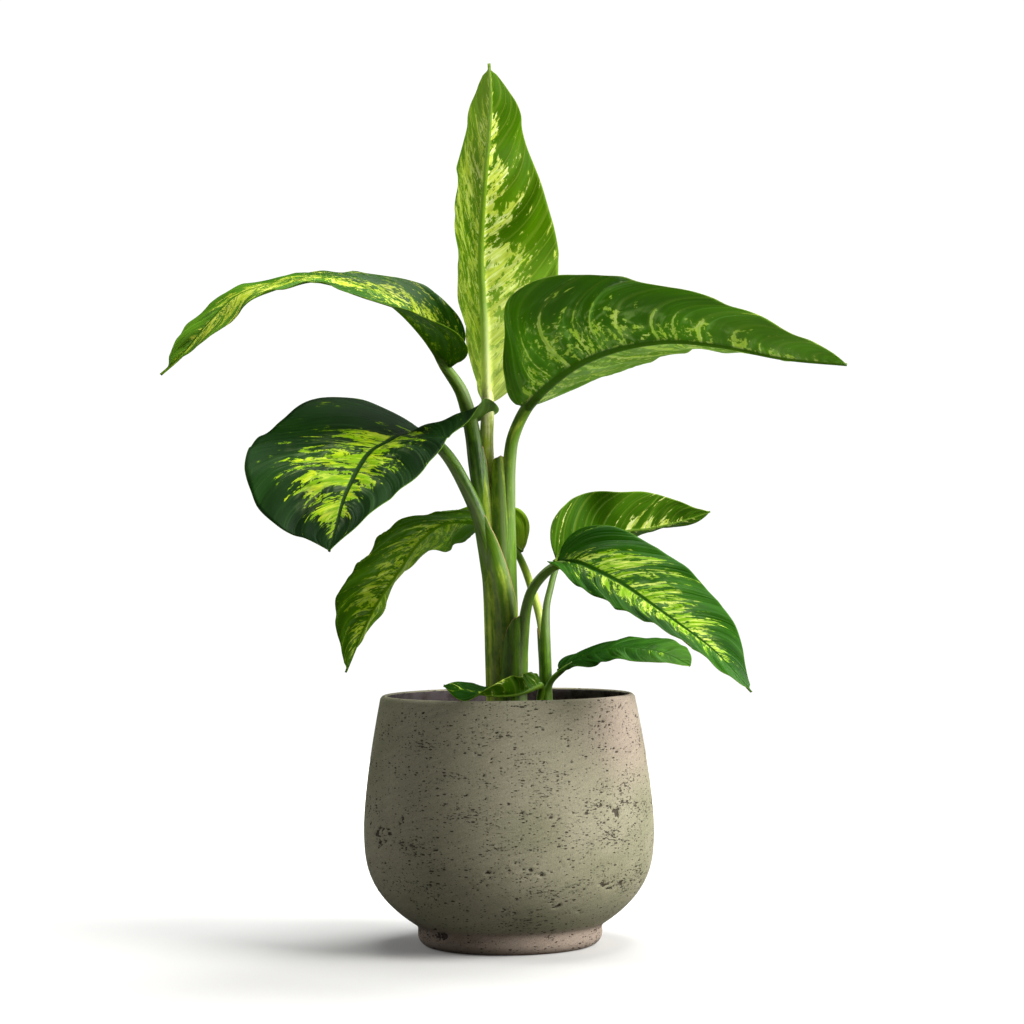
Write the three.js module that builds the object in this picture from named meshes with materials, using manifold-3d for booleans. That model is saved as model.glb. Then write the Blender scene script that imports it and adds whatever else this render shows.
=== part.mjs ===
// A variegated dumb cane (Dieffenbachia) growing in a round, footed concrete planter.
// Millimetres, +Z up. The origin is the centre of the planter's flat underside, the viewer's side is -Y.
import * as THREE from "three";
import { mergeVertices } from "three/addons/utils/BufferGeometryUtils.js";
import Module from "manifold-3d";

const wasm = await Module();
wasm.setup();

// ---------- driving dimensions ----------
const POT_HEIGHT = 176;
const FOOT_RADIUS = 65; // upright wall of the foot ring
const FOOT_HEIGHT = 14;
const FOOT_ROUNDING = 8; // lower edge of the foot
const BELLY_RADIUS = 102.4; // widest part of the bowl
const BELLY_Z = 84;
const RIM_RADIUS = 89.5; // outside of the mouth
const POT_WALL = 5;
const POT_FLOOR = 13; // thickness of the bottom
const SOIL_DROP = 17; // from the rim down to the soil
const GAP = 0.3; // clearance between pieces that touch
const SLIVER = 0.01; // edges shorter than this are closed up after a cut
const BLADE_THICKNESS = 1; // leaf lamina
const RIB_DEPTH = 1.6; // how far the midrib stands out below the lamina
const POT_SEGMENTS = 44;
const STALK_SIDES = 12;
const STALK_STEPS = 11;
const RINGS_PER_BLADE = 15;
const STRIPS_PER_HALF = 4;

const SOIL_Z = POT_HEIGHT - SOIL_DROP;

// ---------- materials ----------
const material = (color, roughness) => new THREE.MeshStandardMaterial({ color, roughness, metalness: 0 });
const concrete = () => material(0x96947a, 0.9);
const pottingSoil = () => material(0x35281f, 1);
const leafGreen = () => material(0x2f6a24, 0.45);
const darkLeafGreen = () => material(0x1d4526, 0.4);
const limeLeafGreen = () => material(0x86ad2e, 0.45);
const stalkGreen = () => material(0x547a38, 0.5);
const caneGreen = () => material(0x3f5a2c, 0.6);

// ---------- solids ----------
// The manifold solid of a three.js geometry.
function solidOf(geometry) {
  const bare = new THREE.BufferGeometry();
  bare.setAttribute("position", geometry.getAttribute("position"));
  bare.setIndex(geometry.index);
  const merged = mergeVertices(bare, 1e-3);
  return new wasm.Manifold(
    new wasm.Mesh({
      numProp: 3,
      vertProperties: new Float32Array(merged.attributes.position.array),
      triVerts: new Uint32Array(merged.index.array),
    }),
  );
}

// The largest of the bodies that a cut leaves, without slivers.
function mainBody(solid) {
  const bodies = solid.decompose();
  const largest = bodies.reduce((best, body) => (body.volume() > best.volume() ? body : best));
  return largest.simplify(SLIVER);
}

// A named mesh of a manifold solid.
function meshOf(name, solid, look) {
  const made = solid.getMesh();
  const geometry = new THREE.BufferGeometry();
  geometry.setAttribute("position", new THREE.BufferAttribute(new Float32Array(made.vertProperties), 3));
  geometry.setIndex(new THREE.BufferAttribute(new Uint32Array(made.triVerts), 1));
  geometry.computeVertexNormals();
  const mesh = new THREE.Mesh(geometry, look);
  mesh.name = name;
  return mesh;
}

// A closed skin over rings of points, each ring with the same number of points.
function loft(rings) {
  const size = rings[0].length;
  const points = rings.flat();
  const faces = [];
  for (let r = 0; r + 1 < rings.length; r++) {
    for (let k = 0; k < size; k++) {
      const a = r * size + k;
      const b = r * size + ((k + 1) % size);
      faces.push(a, b, b + size, a, b + size, a + size);
    }
  }
  const last = (rings.length - 1) * size;
  for (let k = 1; k + 1 < size; k++) {
    faces.push(0, k + 1, k, last, last + k, last + k + 1);
  }
  const geometry = new THREE.BufferGeometry();
  geometry.setAttribute("position", new THREE.Float32BufferAttribute(points.flatMap((p) => p.toArray()), 3));
  geometry.setIndex(faces);
  const solid = solidOf(geometry);
  if (solid.volume() > 0) return solid;
  for (let i = 0; i < faces.length; i += 3) {
    [faces[i + 1], faces[i + 2]] = [faces[i + 2], faces[i + 1]];
  }
  geometry.setIndex(faces);
  return solidOf(geometry);
}

// ---------- curves ----------
// A smooth curve through the given points, with its parameter even along the chords.
function smoothCurve(coords) {
  const points = coords.map((c) => new THREE.Vector3(...c));
  const reach = [0];
  for (let i = 1; i < points.length; i++) {
    reach.push(reach[i - 1] + points[i].distanceTo(points[i - 1]));
  }
  const at = reach.map((s) => s / reach[reach.length - 1]);
  const slope = (i, j) => points[j].clone().sub(points[i]).divideScalar(at[j] - at[i]);
  const tangents = points.map((_, i) => {
    if (i === 0) return slope(0, 1);
    if (i === points.length - 1) return slope(i - 1, i);
    const before = at[i] - at[i - 1];
    const after = at[i + 1] - at[i];
    return slope(i - 1, i)
      .multiplyScalar(after / (before + after))
      .addScaledVector(slope(i, i + 1), before / (before + after));
  });
  return (t) => {
    let k = 0;
    while (k < points.length - 2 && t > at[k + 1]) k++;
    const h = at[k + 1] - at[k];
    const s = (t - at[k]) / h;
    return points[k]
      .clone()
      .multiplyScalar(2 * s ** 3 - 3 * s ** 2 + 1)
      .addScaledVector(tangents[k], (s ** 3 - 2 * s ** 2 + s) * h)
      .addScaledVector(points[k + 1], -2 * s ** 3 + 3 * s ** 2)
      .addScaledVector(tangents[k + 1], (s ** 3 - s ** 2) * h);
  };
}

// Eased reading of a short list of evenly spaced values, for t from 0 to 1.
function eased(values, t) {
  const x = Math.min(Math.max(t, 0), 1) * (values.length - 1);
  const k = Math.min(Math.floor(x), values.length - 2);
  const f = x - k;
  const s = f * f * (3 - 2 * f);
  return values[k] * (1 - s) + values[k + 1] * s;
}

const easedVector = (list, t) =>
  new THREE.Vector3(...[0, 1, 2].map((axis) => eased(list.map((v) => v[axis]), t)));

// Direction of a curve.
function heading(curve, t) {
  const a = Math.max(t - 0.01, 0);
  const b = Math.min(t + 0.01, 1);
  return curve(b).sub(curve(a)).normalize();
}

// A solid of revolution about +Z from a profile of [radius, height] points.
function turned(profile) {
  return solidOf(new THREE.LatheGeometry(profile, POT_SEGMENTS).rotateX(Math.PI / 2));
}

// ---------- planter ----------
// Outside radius of the bowl, from the foot ring up to the lip.
function bowlRadius(z) {
  if (z < BELLY_Z) {
    const drop = (BELLY_Z - z) / (BELLY_Z - FOOT_HEIGHT);
    return FOOT_RADIUS + (BELLY_RADIUS - FOOT_RADIUS) * (1 - drop ** 3);
  }
  const rise = (z - BELLY_Z) / (POT_HEIGHT - BELLY_Z);
  return BELLY_RADIUS - (BELLY_RADIUS - RIM_RADIUS) * rise ** 1.45;
}

// Heights at which the wall is drawn: the outside going up, the inside coming down.
const OUTER_LEVELS = [16, 20, 26, 34, 46, 64, 84, 108, 132, 154, 173];
const INNER_LEVELS = [172, 150, 120, 84, 50, 28];

// The wall thickens a little towards the bottom.
function hollowRadius(z) {
  return bowlRadius(z) - POT_WALL - (z < 50 ? 2 : 0);
}

function planter() {
  const flat = FOOT_RADIUS - FOOT_ROUNDING;
  const profile = [new THREE.Vector2(0, 0), new THREE.Vector2(flat, 0)];
  for (let k = 1; k <= 3; k++) {
    const turn = (k / 3) * (Math.PI / 2);
    profile.push(
      new THREE.Vector2(flat + FOOT_ROUNDING * Math.sin(turn), FOOT_ROUNDING * (1 - Math.cos(turn))),
    );
  }
  profile.push(new THREE.Vector2(FOOT_RADIUS, FOOT_HEIGHT));
  for (const z of OUTER_LEVELS) {
    profile.push(new THREE.Vector2(bowlRadius(z), z));
  }
  profile.push(new THREE.Vector2(RIM_RADIUS - 1.2, POT_HEIGHT - 0.5));
  profile.push(new THREE.Vector2(RIM_RADIUS - 2.6, POT_HEIGHT));
  profile.push(new THREE.Vector2(RIM_RADIUS - POT_WALL + 1, POT_HEIGHT - 0.4));
  for (const z of INNER_LEVELS) {
    profile.push(new THREE.Vector2(hollowRadius(z), z));
  }
  profile.push(new THREE.Vector2(62, POT_FLOOR + 4));
  profile.push(new THREE.Vector2(54, POT_FLOOR));
  profile.push(new THREE.Vector2(0, POT_FLOOR));
  return turned(profile);
}

// The soil fills the bowl below the mouth, with a low rounded mound and shallow hollows.
function soilBody() {
  const floor = POT_FLOOR + GAP;
  const profile = [new THREE.Vector2(0, floor), new THREE.Vector2(53, floor), new THREE.Vector2(61, floor + 4)];
  for (const z of INNER_LEVELS.slice(1).reverse()) {
    profile.push(new THREE.Vector2(hollowRadius(z) - GAP, z));
  }
  profile.push(new THREE.Vector2(hollowRadius(SOIL_Z) - 1.5, SOIL_Z));
  for (const r of [74, 60, 46, 32, 18]) {
    profile.push(new THREE.Vector2(r, SOIL_Z + 2.5 * Math.cos((r / 74) * (Math.PI / 2))));
  }
  profile.push(new THREE.Vector2(0, SOIL_Z + 2.5));
  return turned(profile);
}

// ---------- stalks ----------
// A tapering round stalk: path points, radii from foot to tip, and extra to add to every radius.
function stalkBody({ path, radii }, extra = 0) {
  const curve = smoothCurve(path);
  const steps = STALK_STEPS;
  const rings = [];
  let side = new THREE.Vector3(1, 0, 0);
  for (let i = 0; i <= steps; i++) {
    const t = i / steps;
    const along = heading(curve, t);
    side = side.addScaledVector(along, -side.dot(along)).normalize();
    const over = new THREE.Vector3().crossVectors(along, side);
    const radius = eased(radii, t) + extra;
    const middle = curve(t);
    if (i === 0) middle.addScaledVector(along, -extra);
    if (i === steps) middle.addScaledVector(along, extra);
    const ring = [];
    for (let k = 0; k < STALK_SIDES; k++) {
      const turn = (k / STALK_SIDES) * Math.PI * 2;
      ring.push(
        middle
          .clone()
          .addScaledVector(side, radius * Math.cos(turn))
          .addScaledVector(over, radius * Math.sin(turn)),
      );
    }
    rings.push(ring);
    side = side.clone();
  }
  return loft(rings);
}

// ---------- leaf blades ----------
// Half-width of a blade as a share of its widest, from the blunt base to the drawn-out tip.
function outline(leaf, side, t) {
  const { widest = 0.36, blunt = 3, round = 3, full = 1.8, sharp = 1 } = { ...leaf, ...leaf[side] };
  if (t < widest) return (1 - (1 - t / widest) ** blunt) ** (1 / round);
  return (1 - ((t - widest) / (1 - widest)) ** full) ** sharp;
}

// Points across one half of a blade at t, from the rib to the margin. Each half leaves the rib at
// its own lift above the level of the rib, curls on the way out, and sweeps towards the tip.
function halfSection(leaf, side, t, at, along, across, up) {
  const half = leaf[side];
  const sign = side === "right" ? 1 : -1;
  const reach = Math.max(half.width * outline(leaf, side, t), 0.9);
  const lift = eased(half.lift, t);
  const curl = eased(half.curl ?? [0, 0], t);
  const sweep = leaf.sweep ?? 0.25;
  const points = [];
  const place = at.clone();
  for (let j = 1; j <= STRIPS_PER_HALF; j++) {
    const middle = (j - 0.5) / STRIPS_PER_HALF;
    let angle = lift + curl * middle;
    if (half.fold && middle > half.fold.from) {
      angle += half.fold.by * Math.min(1, 1.6 * Math.max(0, 1 - t / half.fold.until));
    }
    const radians = THREE.MathUtils.degToRad(angle);
    place.addScaledVector(across, (sign * Math.cos(radians) * reach) / STRIPS_PER_HALF);
    place.addScaledVector(up, (Math.sin(radians) * reach) / STRIPS_PER_HALF);
    const out = j / STRIPS_PER_HALF;
    const forward = sweep * reach * out ** 2 * Math.min(1, 3 * t);
    const back = half.lobe * half.width * out ** 1.5 * Math.max(0, 1 - t / 0.3) ** 2;
    points.push(place.clone().addScaledVector(along, forward - back * outline(leaf, side, t)));
  }
  return points;
}

// The thin closed body of a blade, with its raised rib on the underside.
function bladeBody(leaf) {
  const curve = smoothCurve(leaf.rib);
  const rows = [];
  for (let i = 0; i <= RINGS_PER_BLADE; i++) {
    const t = i / RINGS_PER_BLADE;
    const along = heading(curve, t);
    const up = easedVector(leaf.face, t);
    up.addScaledVector(along, -up.dot(along)).normalize();
    const across = new THREE.Vector3().crossVectors(along, up);
    const at = curve(t);
    const left = halfSection(leaf, "left", t, at, along, across, up).reverse();
    const right = halfSection(leaf, "right", t, at, along, across, up);
    rows.push([...left, at, ...right]);
  }
  const count = rows[0].length;
  const rings = rows.map((row, i) => {
    const t = i / RINGS_PER_BLADE;
    const top = [];
    const under = [];
    row.forEach((p, j) => {
      const acrossward = row[Math.min(j + 1, count - 1)].clone().sub(row[Math.max(j - 1, 0)]);
      const onward = rows[Math.min(i + 1, rows.length - 1)][j].clone().sub(rows[Math.max(i - 1, 0)][j]);
      const normal = acrossward.cross(onward).normalize();
      const rib = j === STRIPS_PER_HALF ? RIB_DEPTH * (1 - 0.7 * t) : 0;
      top.push(p.clone().addScaledVector(normal, BLADE_THICKNESS / 2));
      under.push(p.clone().addScaledVector(normal, -BLADE_THICKNESS / 2 - rib));
    });
    return [...top, ...under.reverse()];
  });
  return loft(rings);
}

// ---------- the plant ----------
// Stalks, each a leaf stalk with the sheath at its foot. They are listed from the heart of the plant
// outwards: each one is hollowed by those before it, so that the outer sheaths wrap the inner ones.
const STALKS = {
  main_cane: {
    look: caneGreen,
    path: [[3, -5, 150], [1, -5, 180], [-1, -6, 208]],
    radii: [8.8, 8.6, 7.4],
  },
  top_leaf_stalk: {
    look: stalkGreen,
    path: [[-3, -2, 208.6], [-6, -2, 271], [-11, -3, 320], [-13, -6, 355], [-12, -9, 385]],
    radii: [5, 5, 5, 5, 4.6, 3.4],
  },
  upper_left_leaf_stalk: {
    look: stalkGreen,
    path: [[-3, -7, 208.6], [-10, -8, 271], [-16, -8, 320], [-21, -11, 355], [-29, -13, 387], [-44, -15, 410]],
    radii: [7.6, 7.6, 7.4, 6.2, 5, 4.4, 3.6],
  },
  right_leaf_stalk: {
    look: stalkGreen,
    path: [[-1, -7, 208.6], [-2, -9, 271], [-2, -11, 313], [3, -13, 348], [8, -15, 364], [18, -24, 380]],
    radii: [9.6, 9.6, 9, 6.6, 4.8, 4.5, 4],
  },
  dark_left_leaf_stalk: {
    look: stalkGreen,
    path: [[-2, -8, 150], [-3, -8, 190], [-4, -10, 243], [-9, -14, 281], [-22, -18, 313], [-44, -23, 349], [-57, -27, 357]],
    radii: [12.6, 12.4, 12.2, 10.4, 6, 4.6, 4.4, 3.6],
  },
  front_right_leaf_stalk: {
    look: stalkGreen,
    path: [[3, -13, 150], [3, -14, 180], [7, -18, 215], [11, -22, 234], [17, -27, 250], [37, -37, 267]],
    radii: [10.8, 10.6, 9.4, 5, 3.8, 3.2, 2.8],
  },
  rear_right_leaf_stalk: {
    look: stalkGreen,
    path: [[28, 12, 150], [27, 12, 190], [27, 12, 213], [28, 14, 235], [31, 17, 249], [38, 23, 269]],
    radii: [4.8, 4.6, 4, 2.8, 2.5, 2.2],
  },
  lower_left_leaf_stalk: {
    look: stalkGreen,
    path: [[27, 18, 150], [27, 19, 190], [27, 23, 206], [24, 31, 224], [17, 38, 254], [7, 42, 277]],
    radii: [4.6, 4.4, 3.6, 3.1, 3, 2.6],
  },
  low_right_leaf_stalk: {
    look: stalkGreen,
    path: [[27, 5, 150], [27, 4, 172], [30, 4, 183], [40, 3, 193]],
    radii: [3.6, 3.2, 2.4, 1.8],
  },
  rim_leaf_stalk: {
    look: stalkGreen,
    path: [[22, 6, 150], [23, 3, 172], [24, -3, 180], [23, -13, 183]],
    radii: [3.4, 3, 2.4, 1.8],
  },
};

// Blades. rib: points along the midrib from base to tip. face: which way the upper side looks, from
// base to tip. width: half-width. lift and curl: degrees, from base to tip. The right half is the one
// to the right of somebody looking along the rib from its base with the upper side up.
const BLADES = {
  top_leaf_blade: {
    look: limeLeafGreen,
    rib: [[-12, -8, 381], [-13, -22, 435], [-15, -34, 482], [-12, -48, 528], [-9, -58, 558], [-7, -70, 588], [-8, -78, 609]],
    face: [[0, 1, 0], [0, 1, 0]],
    widest: 0.38,
    blunt: 1.5,
    round: 1.6,
    full: 1.5,
    sharp: 0.9,
    sweep: 0.2,
    right: { width: 54, lift: [76, 76, 76, 66, 48, 40], curl: [-6, -6], lobe: 0 },
    left: { width: 54, lift: [4, 0, 0, 4, 10], curl: [10, 10], lobe: 0 },
  },
  upper_left_leaf_blade: {
    look: leafGreen,
    rib: [
      [-41, -14, 407], [-55, -22, 426], [-81, -32, 448], [-113, -42, 460], [-136, -48, 464],
      [-162, -54, 458], [-178, -58, 446], [-204, -64, 424], [-234, -72, 400],
    ],
    face: [[0, 0, 1], [-0.3, 0, 1], [-0.7, 0, 0.7]],
    widest: 0.33,
    full: 1.7,
    right: { width: 47, lift: [75, 60, 38, 18, 14, 24, 42, 56, 60], lobe: 0.1 },
    left: { width: 45, lift: [24, 12, -2, -5, -5, -5, -6, -10, -10], lobe: 0.1 },
  },
  right_leaf_blade: {
    look: leafGreen,
    rib: [
      [15, -20, 377], [32, -55, 392], [54, -88, 405], [73, -108, 411], [91, -122, 414],
      [109, -132, 415], [140, -145, 411], [183, -158, 401], [222, -168, 396],
    ],
    face: [[-0.2, 0.2, 1], [0, 0, 1], [0, 0, 1]],
    widest: 0.33,
    blunt: 2.8,
    round: 2.6,
    full: 1.6,
    right: { width: 59, lift: [70, 64, 56, 47, 44, 44], lobe: 0.08 },
    left: { width: 54, lift: [6, 8, 4, 0, 0, 0, 0], lobe: 0.08 },
  },
  dark_left_leaf_blade: {
    look: darkLeafGreen,
    rib: [
      [-52, -22, 356], [-71, -52, 357], [-81, -82, 351], [-90, -108, 344], [-96, -130, 334],
      [-101, -152, 322], [-105, -172, 310], [-108, -190, 295], [-112, -205, 279],
    ],
    face: [[0, -0.2, 1], [-0.1, -0.5, 0.85], [-0.2, -0.6, 0.75]],
    widest: 0.42,
    round: 2.6,
    full: 2,
    sweep: 0.35,
    right: { width: 76, lift: [22, 20, 10, 2, 0], lobe: 0.3 },
    left: {
      width: 58,
      full: 1.35,
      lift: [36, 30, 14, 5, 0],
      lobe: 0.6,
      fold: { from: 0.62, until: 0.3, by: -70 },
    },
  },
  lower_left_leaf_blade: {
    look: leafGreen,
    rib: [
      [10, 42, 275], [-8, 45, 292], [-26, 48, 299], [-45, 52, 298], [-63, 58, 285],
      [-79, 64, 263], [-91, 68, 246], [-104, 73, 223], [-119, 80, 189],
    ],
    face: [[0, 0, 1], [-0.5, 0, 0.8], [-0.8, 0.2, 0.5]],
    widest: 0.42,
    blunt: 2.6,
    round: 2.2,
    full: 1.9,
    right: { width: 40, lift: [-40, -50, -22, 2, 8, 10], lobe: 0.2 },
    left: { width: 43, lift: [70, 20, 40, 54, 50], lobe: 0.2 },
  },
  front_right_leaf_blade: {
    look: leafGreen,
    rib: [
      [35, -36, 268], [49, -48, 268], [61, -57, 263], [78, -70, 254], [95, -83, 242],
      [111, -96, 230], [139, -116, 208], [161, -132, 183],
    ],
    face: [[0, -0.3, 1], [0.3, -0.5, 0.8]],
    round: 2.8,
    full: 1.9,
    sharp: 0.9,
    right: { width: 40, lift: [15, 16, 20], lobe: 0.15 },
    left: { width: 42, lift: [46, 30, 23, 20, 18], lobe: 0.15 },
  },
  rear_right_leaf_blade: {
    look: limeLeafGreen,
    rib: [[36, 22, 269], [50, 30, 278], [68, 40, 285], [88, 50, 291], [102, 58, 292], [122, 66, 296], [150, 76, 304]],
    face: [[0, 0, 1], [0, 0, 1]],
    widest: 0.34,
    full: 1.7,
    sweep: 0.2,
    right: { width: 35, lift: [72, 66, 62], lobe: 0.15 },
    left: { width: 35, lift: [-10, -5, -8, -8], lobe: 0.15 },
  },
  low_right_leaf_blade: {
    look: leafGreen,
    rib: [[37, 4, 192], [52, -2, 201], [69, -9, 207], [90, -18, 208], [108, -27, 205], [127, -35, 196]],
    face: [[0, 0, 1], [0, 0, 1]],
    blunt: 2.4,
    round: 2,
    full: 3,
    sharp: 0.8,
    sweep: 0.2,
    right: { width: 24, lift: [-18, -18, -5], lobe: 0.15 },
    left: { width: 24, lift: [16, 19, 14], lobe: 0.15 },
  },
  rim_leaf_blade: {
    look: darkLeafGreen,
    rib: [[24, -7, 182], [19, -32, 186], [6, -55, 187], [-10, -72, 187], [-27, -86, 188], [-44, -97, 189]],
    face: [[0, 0, 1], [0, 0, 1]],
    widest: 0.4,
    blunt: 2.4,
    round: 2,
    full: 1.9,
    sweep: 0.2,
    right: { width: 26, lift: [60, 30, 8, 12, 10], lobe: 0 },
    left: { width: 26, lift: [10, 14, -5, -10, -15], lobe: 0 },
  },
};

// ---------- assembly ----------
const group = new THREE.Group();
group.name = "potted_dumb_cane";

const clearances = Object.values(STALKS).map((stalk) => stalkBody(stalk, GAP));

group.add(meshOf("planter", planter(), concrete()));
const holedSoil = clearances.reduce((soil, clearance) => soil.subtract(clearance), soilBody());
group.add(meshOf("potting_soil", mainBody(holedSoil), pottingSoil()));

Object.entries(STALKS).forEach(([name, stalk], index) => {
  const inner = clearances.slice(0, index);
  const wrapped = inner.reduce((body, clearance) => body.subtract(clearance), stalkBody(stalk));
  group.add(meshOf(name, mainBody(wrapped), stalk.look()));
});

for (const [name, blade] of Object.entries(BLADES)) {
  const cut = clearances.reduce((body, clearance) => body.subtract(clearance), bladeBody(blade));
  group.add(meshOf(name, mainBody(cut), blade.look()));
}

export default group;
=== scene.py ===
"""A variegated dumb cane (Dieffenbachia) in a round, footed concrete planter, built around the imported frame."""
import math

import bpy
import numpy as np
from mathutils import Matrix, Vector


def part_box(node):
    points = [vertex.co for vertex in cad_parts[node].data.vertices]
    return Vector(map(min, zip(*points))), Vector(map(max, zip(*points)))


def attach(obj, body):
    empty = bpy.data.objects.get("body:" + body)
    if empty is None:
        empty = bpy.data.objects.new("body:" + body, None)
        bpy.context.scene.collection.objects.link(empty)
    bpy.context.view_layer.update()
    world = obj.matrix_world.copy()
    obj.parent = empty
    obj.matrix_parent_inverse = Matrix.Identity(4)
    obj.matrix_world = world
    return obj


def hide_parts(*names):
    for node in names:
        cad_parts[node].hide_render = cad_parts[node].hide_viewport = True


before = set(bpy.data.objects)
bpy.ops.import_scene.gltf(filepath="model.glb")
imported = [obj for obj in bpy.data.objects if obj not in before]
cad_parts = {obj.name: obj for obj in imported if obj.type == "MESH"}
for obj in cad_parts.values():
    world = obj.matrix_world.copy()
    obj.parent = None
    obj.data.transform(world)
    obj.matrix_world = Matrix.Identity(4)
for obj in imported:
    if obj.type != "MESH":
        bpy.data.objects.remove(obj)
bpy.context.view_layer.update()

bl_info = {
    "name": "Potted dumb cane",
    "version": (1, 0, 0),
    "blender": (4, 5, 0),
    "location": "View3D > Sidebar > Dumb cane",
    "description": "Builds a variegated dumb cane in a footed concrete planter, piece by piece",
    "category": "Add Mesh",
}

MM = 0.001
BODY = "root"
SIDES = ("upper", "under")  # of a blade, in the order of its material slots
UNDER = 1


# ---------- colours ----------
def srgb(red, green, blue):
    """A colour given in display values of 0 to 255, as the linear numbers that shaders read."""
    parts = [v / 255 for v in (red, green, blue)]
    return tuple(p / 12.92 if p < 0.04045 else ((p + 0.055) / 1.055) ** 2.4 for p in parts)


def length(name, description, default, low=0.0):
    return bpy.props.FloatProperty(
        name=name, description=description, default=default, min=low, unit="LENGTH", subtype="DISTANCE", precision=4
    )


def colour(name, description, default):
    return bpy.props.FloatVectorProperty(
        name=name, description=description, default=default, size=3, min=0, max=1, subtype="COLOR"
    )


def share(name, description, default):
    return bpy.props.FloatProperty(name=name, description=description, default=default, min=0, max=1, subtype="FACTOR")


def amount(name, description, default, low=0):
    return bpy.props.FloatProperty(name=name, description=description, default=default, min=low)


def count(name, description, default, low=1):
    return bpy.props.IntProperty(name=name, description=description, default=default, min=low)


# ---------- settings ----------
PLANTER_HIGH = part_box("planter")[1]
SOIL_LOW, SOIL_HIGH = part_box("potting_soil")


class PlanterSettings(bpy.types.PropertyGroup):
    height: length("Height", "Height of the planter", PLANTER_HIGH[2])
    belly_radius: length("Belly radius", "Radius at the widest part of the bowl", PLANTER_HIGH[0])
    belly_height: length("Belly height", "Height of the widest part", 0.084)
    rim_radius: length("Rim radius", "Outside radius of the mouth", 0.0895)
    foot_radius: length("Foot radius", "Radius of the foot ring", 0.065)
    foot_height: length("Foot height", "Height of the foot ring", 0.014)
    wall: length("Wall", "Thickness of the wall", 0.005)
    floor: length("Floor", "Thickness of the bottom", 0.013)
    segments: count("Segments", "Divisions around the bowl", 480, 24)
    pit_spacing: length("Pit spacing", "Distance between the air pits in the concrete", 0.0062)
    pit_depth: length("Pit depth", "Depth of the air pits", 0.0011)
    seed: count("Seed", "Seed of the pits", 11, 0)
    concrete: colour("Concrete", "Main colour of the concrete", srgb(140, 136, 115))
    concrete_warm: colour("Warm concrete", "Warmer clouds in the concrete", srgb(145, 136, 120))
    concrete_dark: colour("Dark concrete", "Darker clouds in the concrete", srgb(122, 121, 97))
    stain: colour("Stain", "Pinkish stain near the lip and on the foot", srgb(145, 127, 118))
    rust: colour("Rusty edge", "Lowest edge of the foot", srgb(128, 80, 50))
    # Painted shade inside the air pits; the inner wall also uses this colour for its dark blotches.
    pit_shade_and_blotch: colour("Pits", "Colour inside the pits", srgb(40, 30, 26))
    inner: colour("Inner wall", "Colour of the inner wall", srgb(86, 78, 80))


class SoilSettings(bpy.types.PropertyGroup):
    mound: length("Mound", "Height of the mound in the middle", 0.0025)
    crumb_size: length("Crumb size", "Radius of the largest crumbs", 0.0022)
    crumb_density: amount("Crumb density", "Crumbs to a square metre", 150000)
    seed: count("Seed", "Seed of the crumbs", 5, 0)
    dark: colour("Dark soil", "Damp soil", srgb(44, 32, 24))
    light: colour("Light soil", "Dry fibres and bark", srgb(106, 80, 58))


class StalkSettings(bpy.types.PropertyGroup):
    sides: count("Sides", "Divisions around a stalk", 40, 8)
    rows: count("Rows", "Divisions along a stalk", 110, 8)
    green: colour("Green", "Mature stalk", srgb(92, 132, 22))
    deep: colour("Deep green", "Darkest stripes of a stalk", srgb(34, 66, 2))
    lime: colour("Lime", "Young stalk", srgb(180, 204, 64))
    cream: colour("Cream", "Pale young stalk", srgb(255, 254, 196))
    # Painted highlight: grey-green streaks that stand in for the gloss along the stalks.
    grey_sheen: colour("Bloom", "Waxy bloom on the broad faces", srgb(136, 148, 104))
    stain: colour("Stain", "Old stains near the soil", srgb(96, 70, 44))
    margin: colour("Margin", "Dry margin of a sheath", srgb(176, 140, 96))


class BladeSettings(bpy.types.PropertyGroup):
    rows: count("Rows", "Divisions along a blade", 120, 12)
    strips: count("Strips", "Divisions across half of a blade", 28, 4)
    thickness: length("Thickness", "Thickness of the blade", 0.0008)
    quilting: length("Quilting", "Height of the swellings between the side veins", 0.00012)
    pucker: length("Pucker", "Height of the uneven waves over the blade", 0.0003)
    variegation: share("Variegation", "How far the pale patches spread from the rib", 0.5)
    # Painted highlight: pale lines between the side veins that stand in for the sheen on the waves of the blade.
    sheen: colour("Sheen", "Waxy lines between the side veins", srgb(150, 196, 118))
    # Painted highlight in part: the pale wavy lines beside the rib stand in for gloss, while the threads along the side
    # veins are real pale lines.
    crease: colour("Creases", "Pale creases beside the rib", srgb(196, 216, 156))
    through: colour("Light through", "Tint of the light that passes through a leaf", srgb(170, 214, 10))


class StageSettings(bpy.types.PropertyGroup):
    floor_colour: colour("Floor", "Colour of the floor", (0.58, 0.58, 0.57))
    floor_bounce: colour("Floor bounce", "Light that the floor throws back on the object", (0.2, 0.2, 0.19))
    floor_lift: share("Floor lift", "How far the floor is brightened towards white", 0.04)
    surround: share("Surround", "Brightness of the white surroundings", 0.1)
    floor_radius: length("Floor radius", "Radius of the floor", 1.7)
    camera_distance: length("Camera distance", "From the camera to the middle of the planter", 1.98)
    camera_height: length("Camera height", "Height of the camera", 0.284)
    lens: amount("Lens", "Focal length in millimetres", 98.44, 10)


# ---------- curves ----------
def along_chords(points):
    """Where each point lies along the chords between the points, from 0 to 1, and how long they are in all."""
    chord = np.linalg.norm(np.diff(points, axis=0), axis=1)
    return np.concatenate([[0], np.cumsum(chord)]) / chord.sum(), chord.sum()


def hermite(ends, slopes, s):
    """The cubic between two ends that leaves and arrives with the slopes, as s goes from 0 to 1."""
    return (
        ends[0] * (2 * s**3 - 3 * s**2 + 1)
        + slopes[0] * (s**3 - 2 * s**2 + s)
        + ends[1] * (3 * s**2 - 2 * s**3)
        + slopes[1] * (s**3 - s**2)
    )


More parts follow.
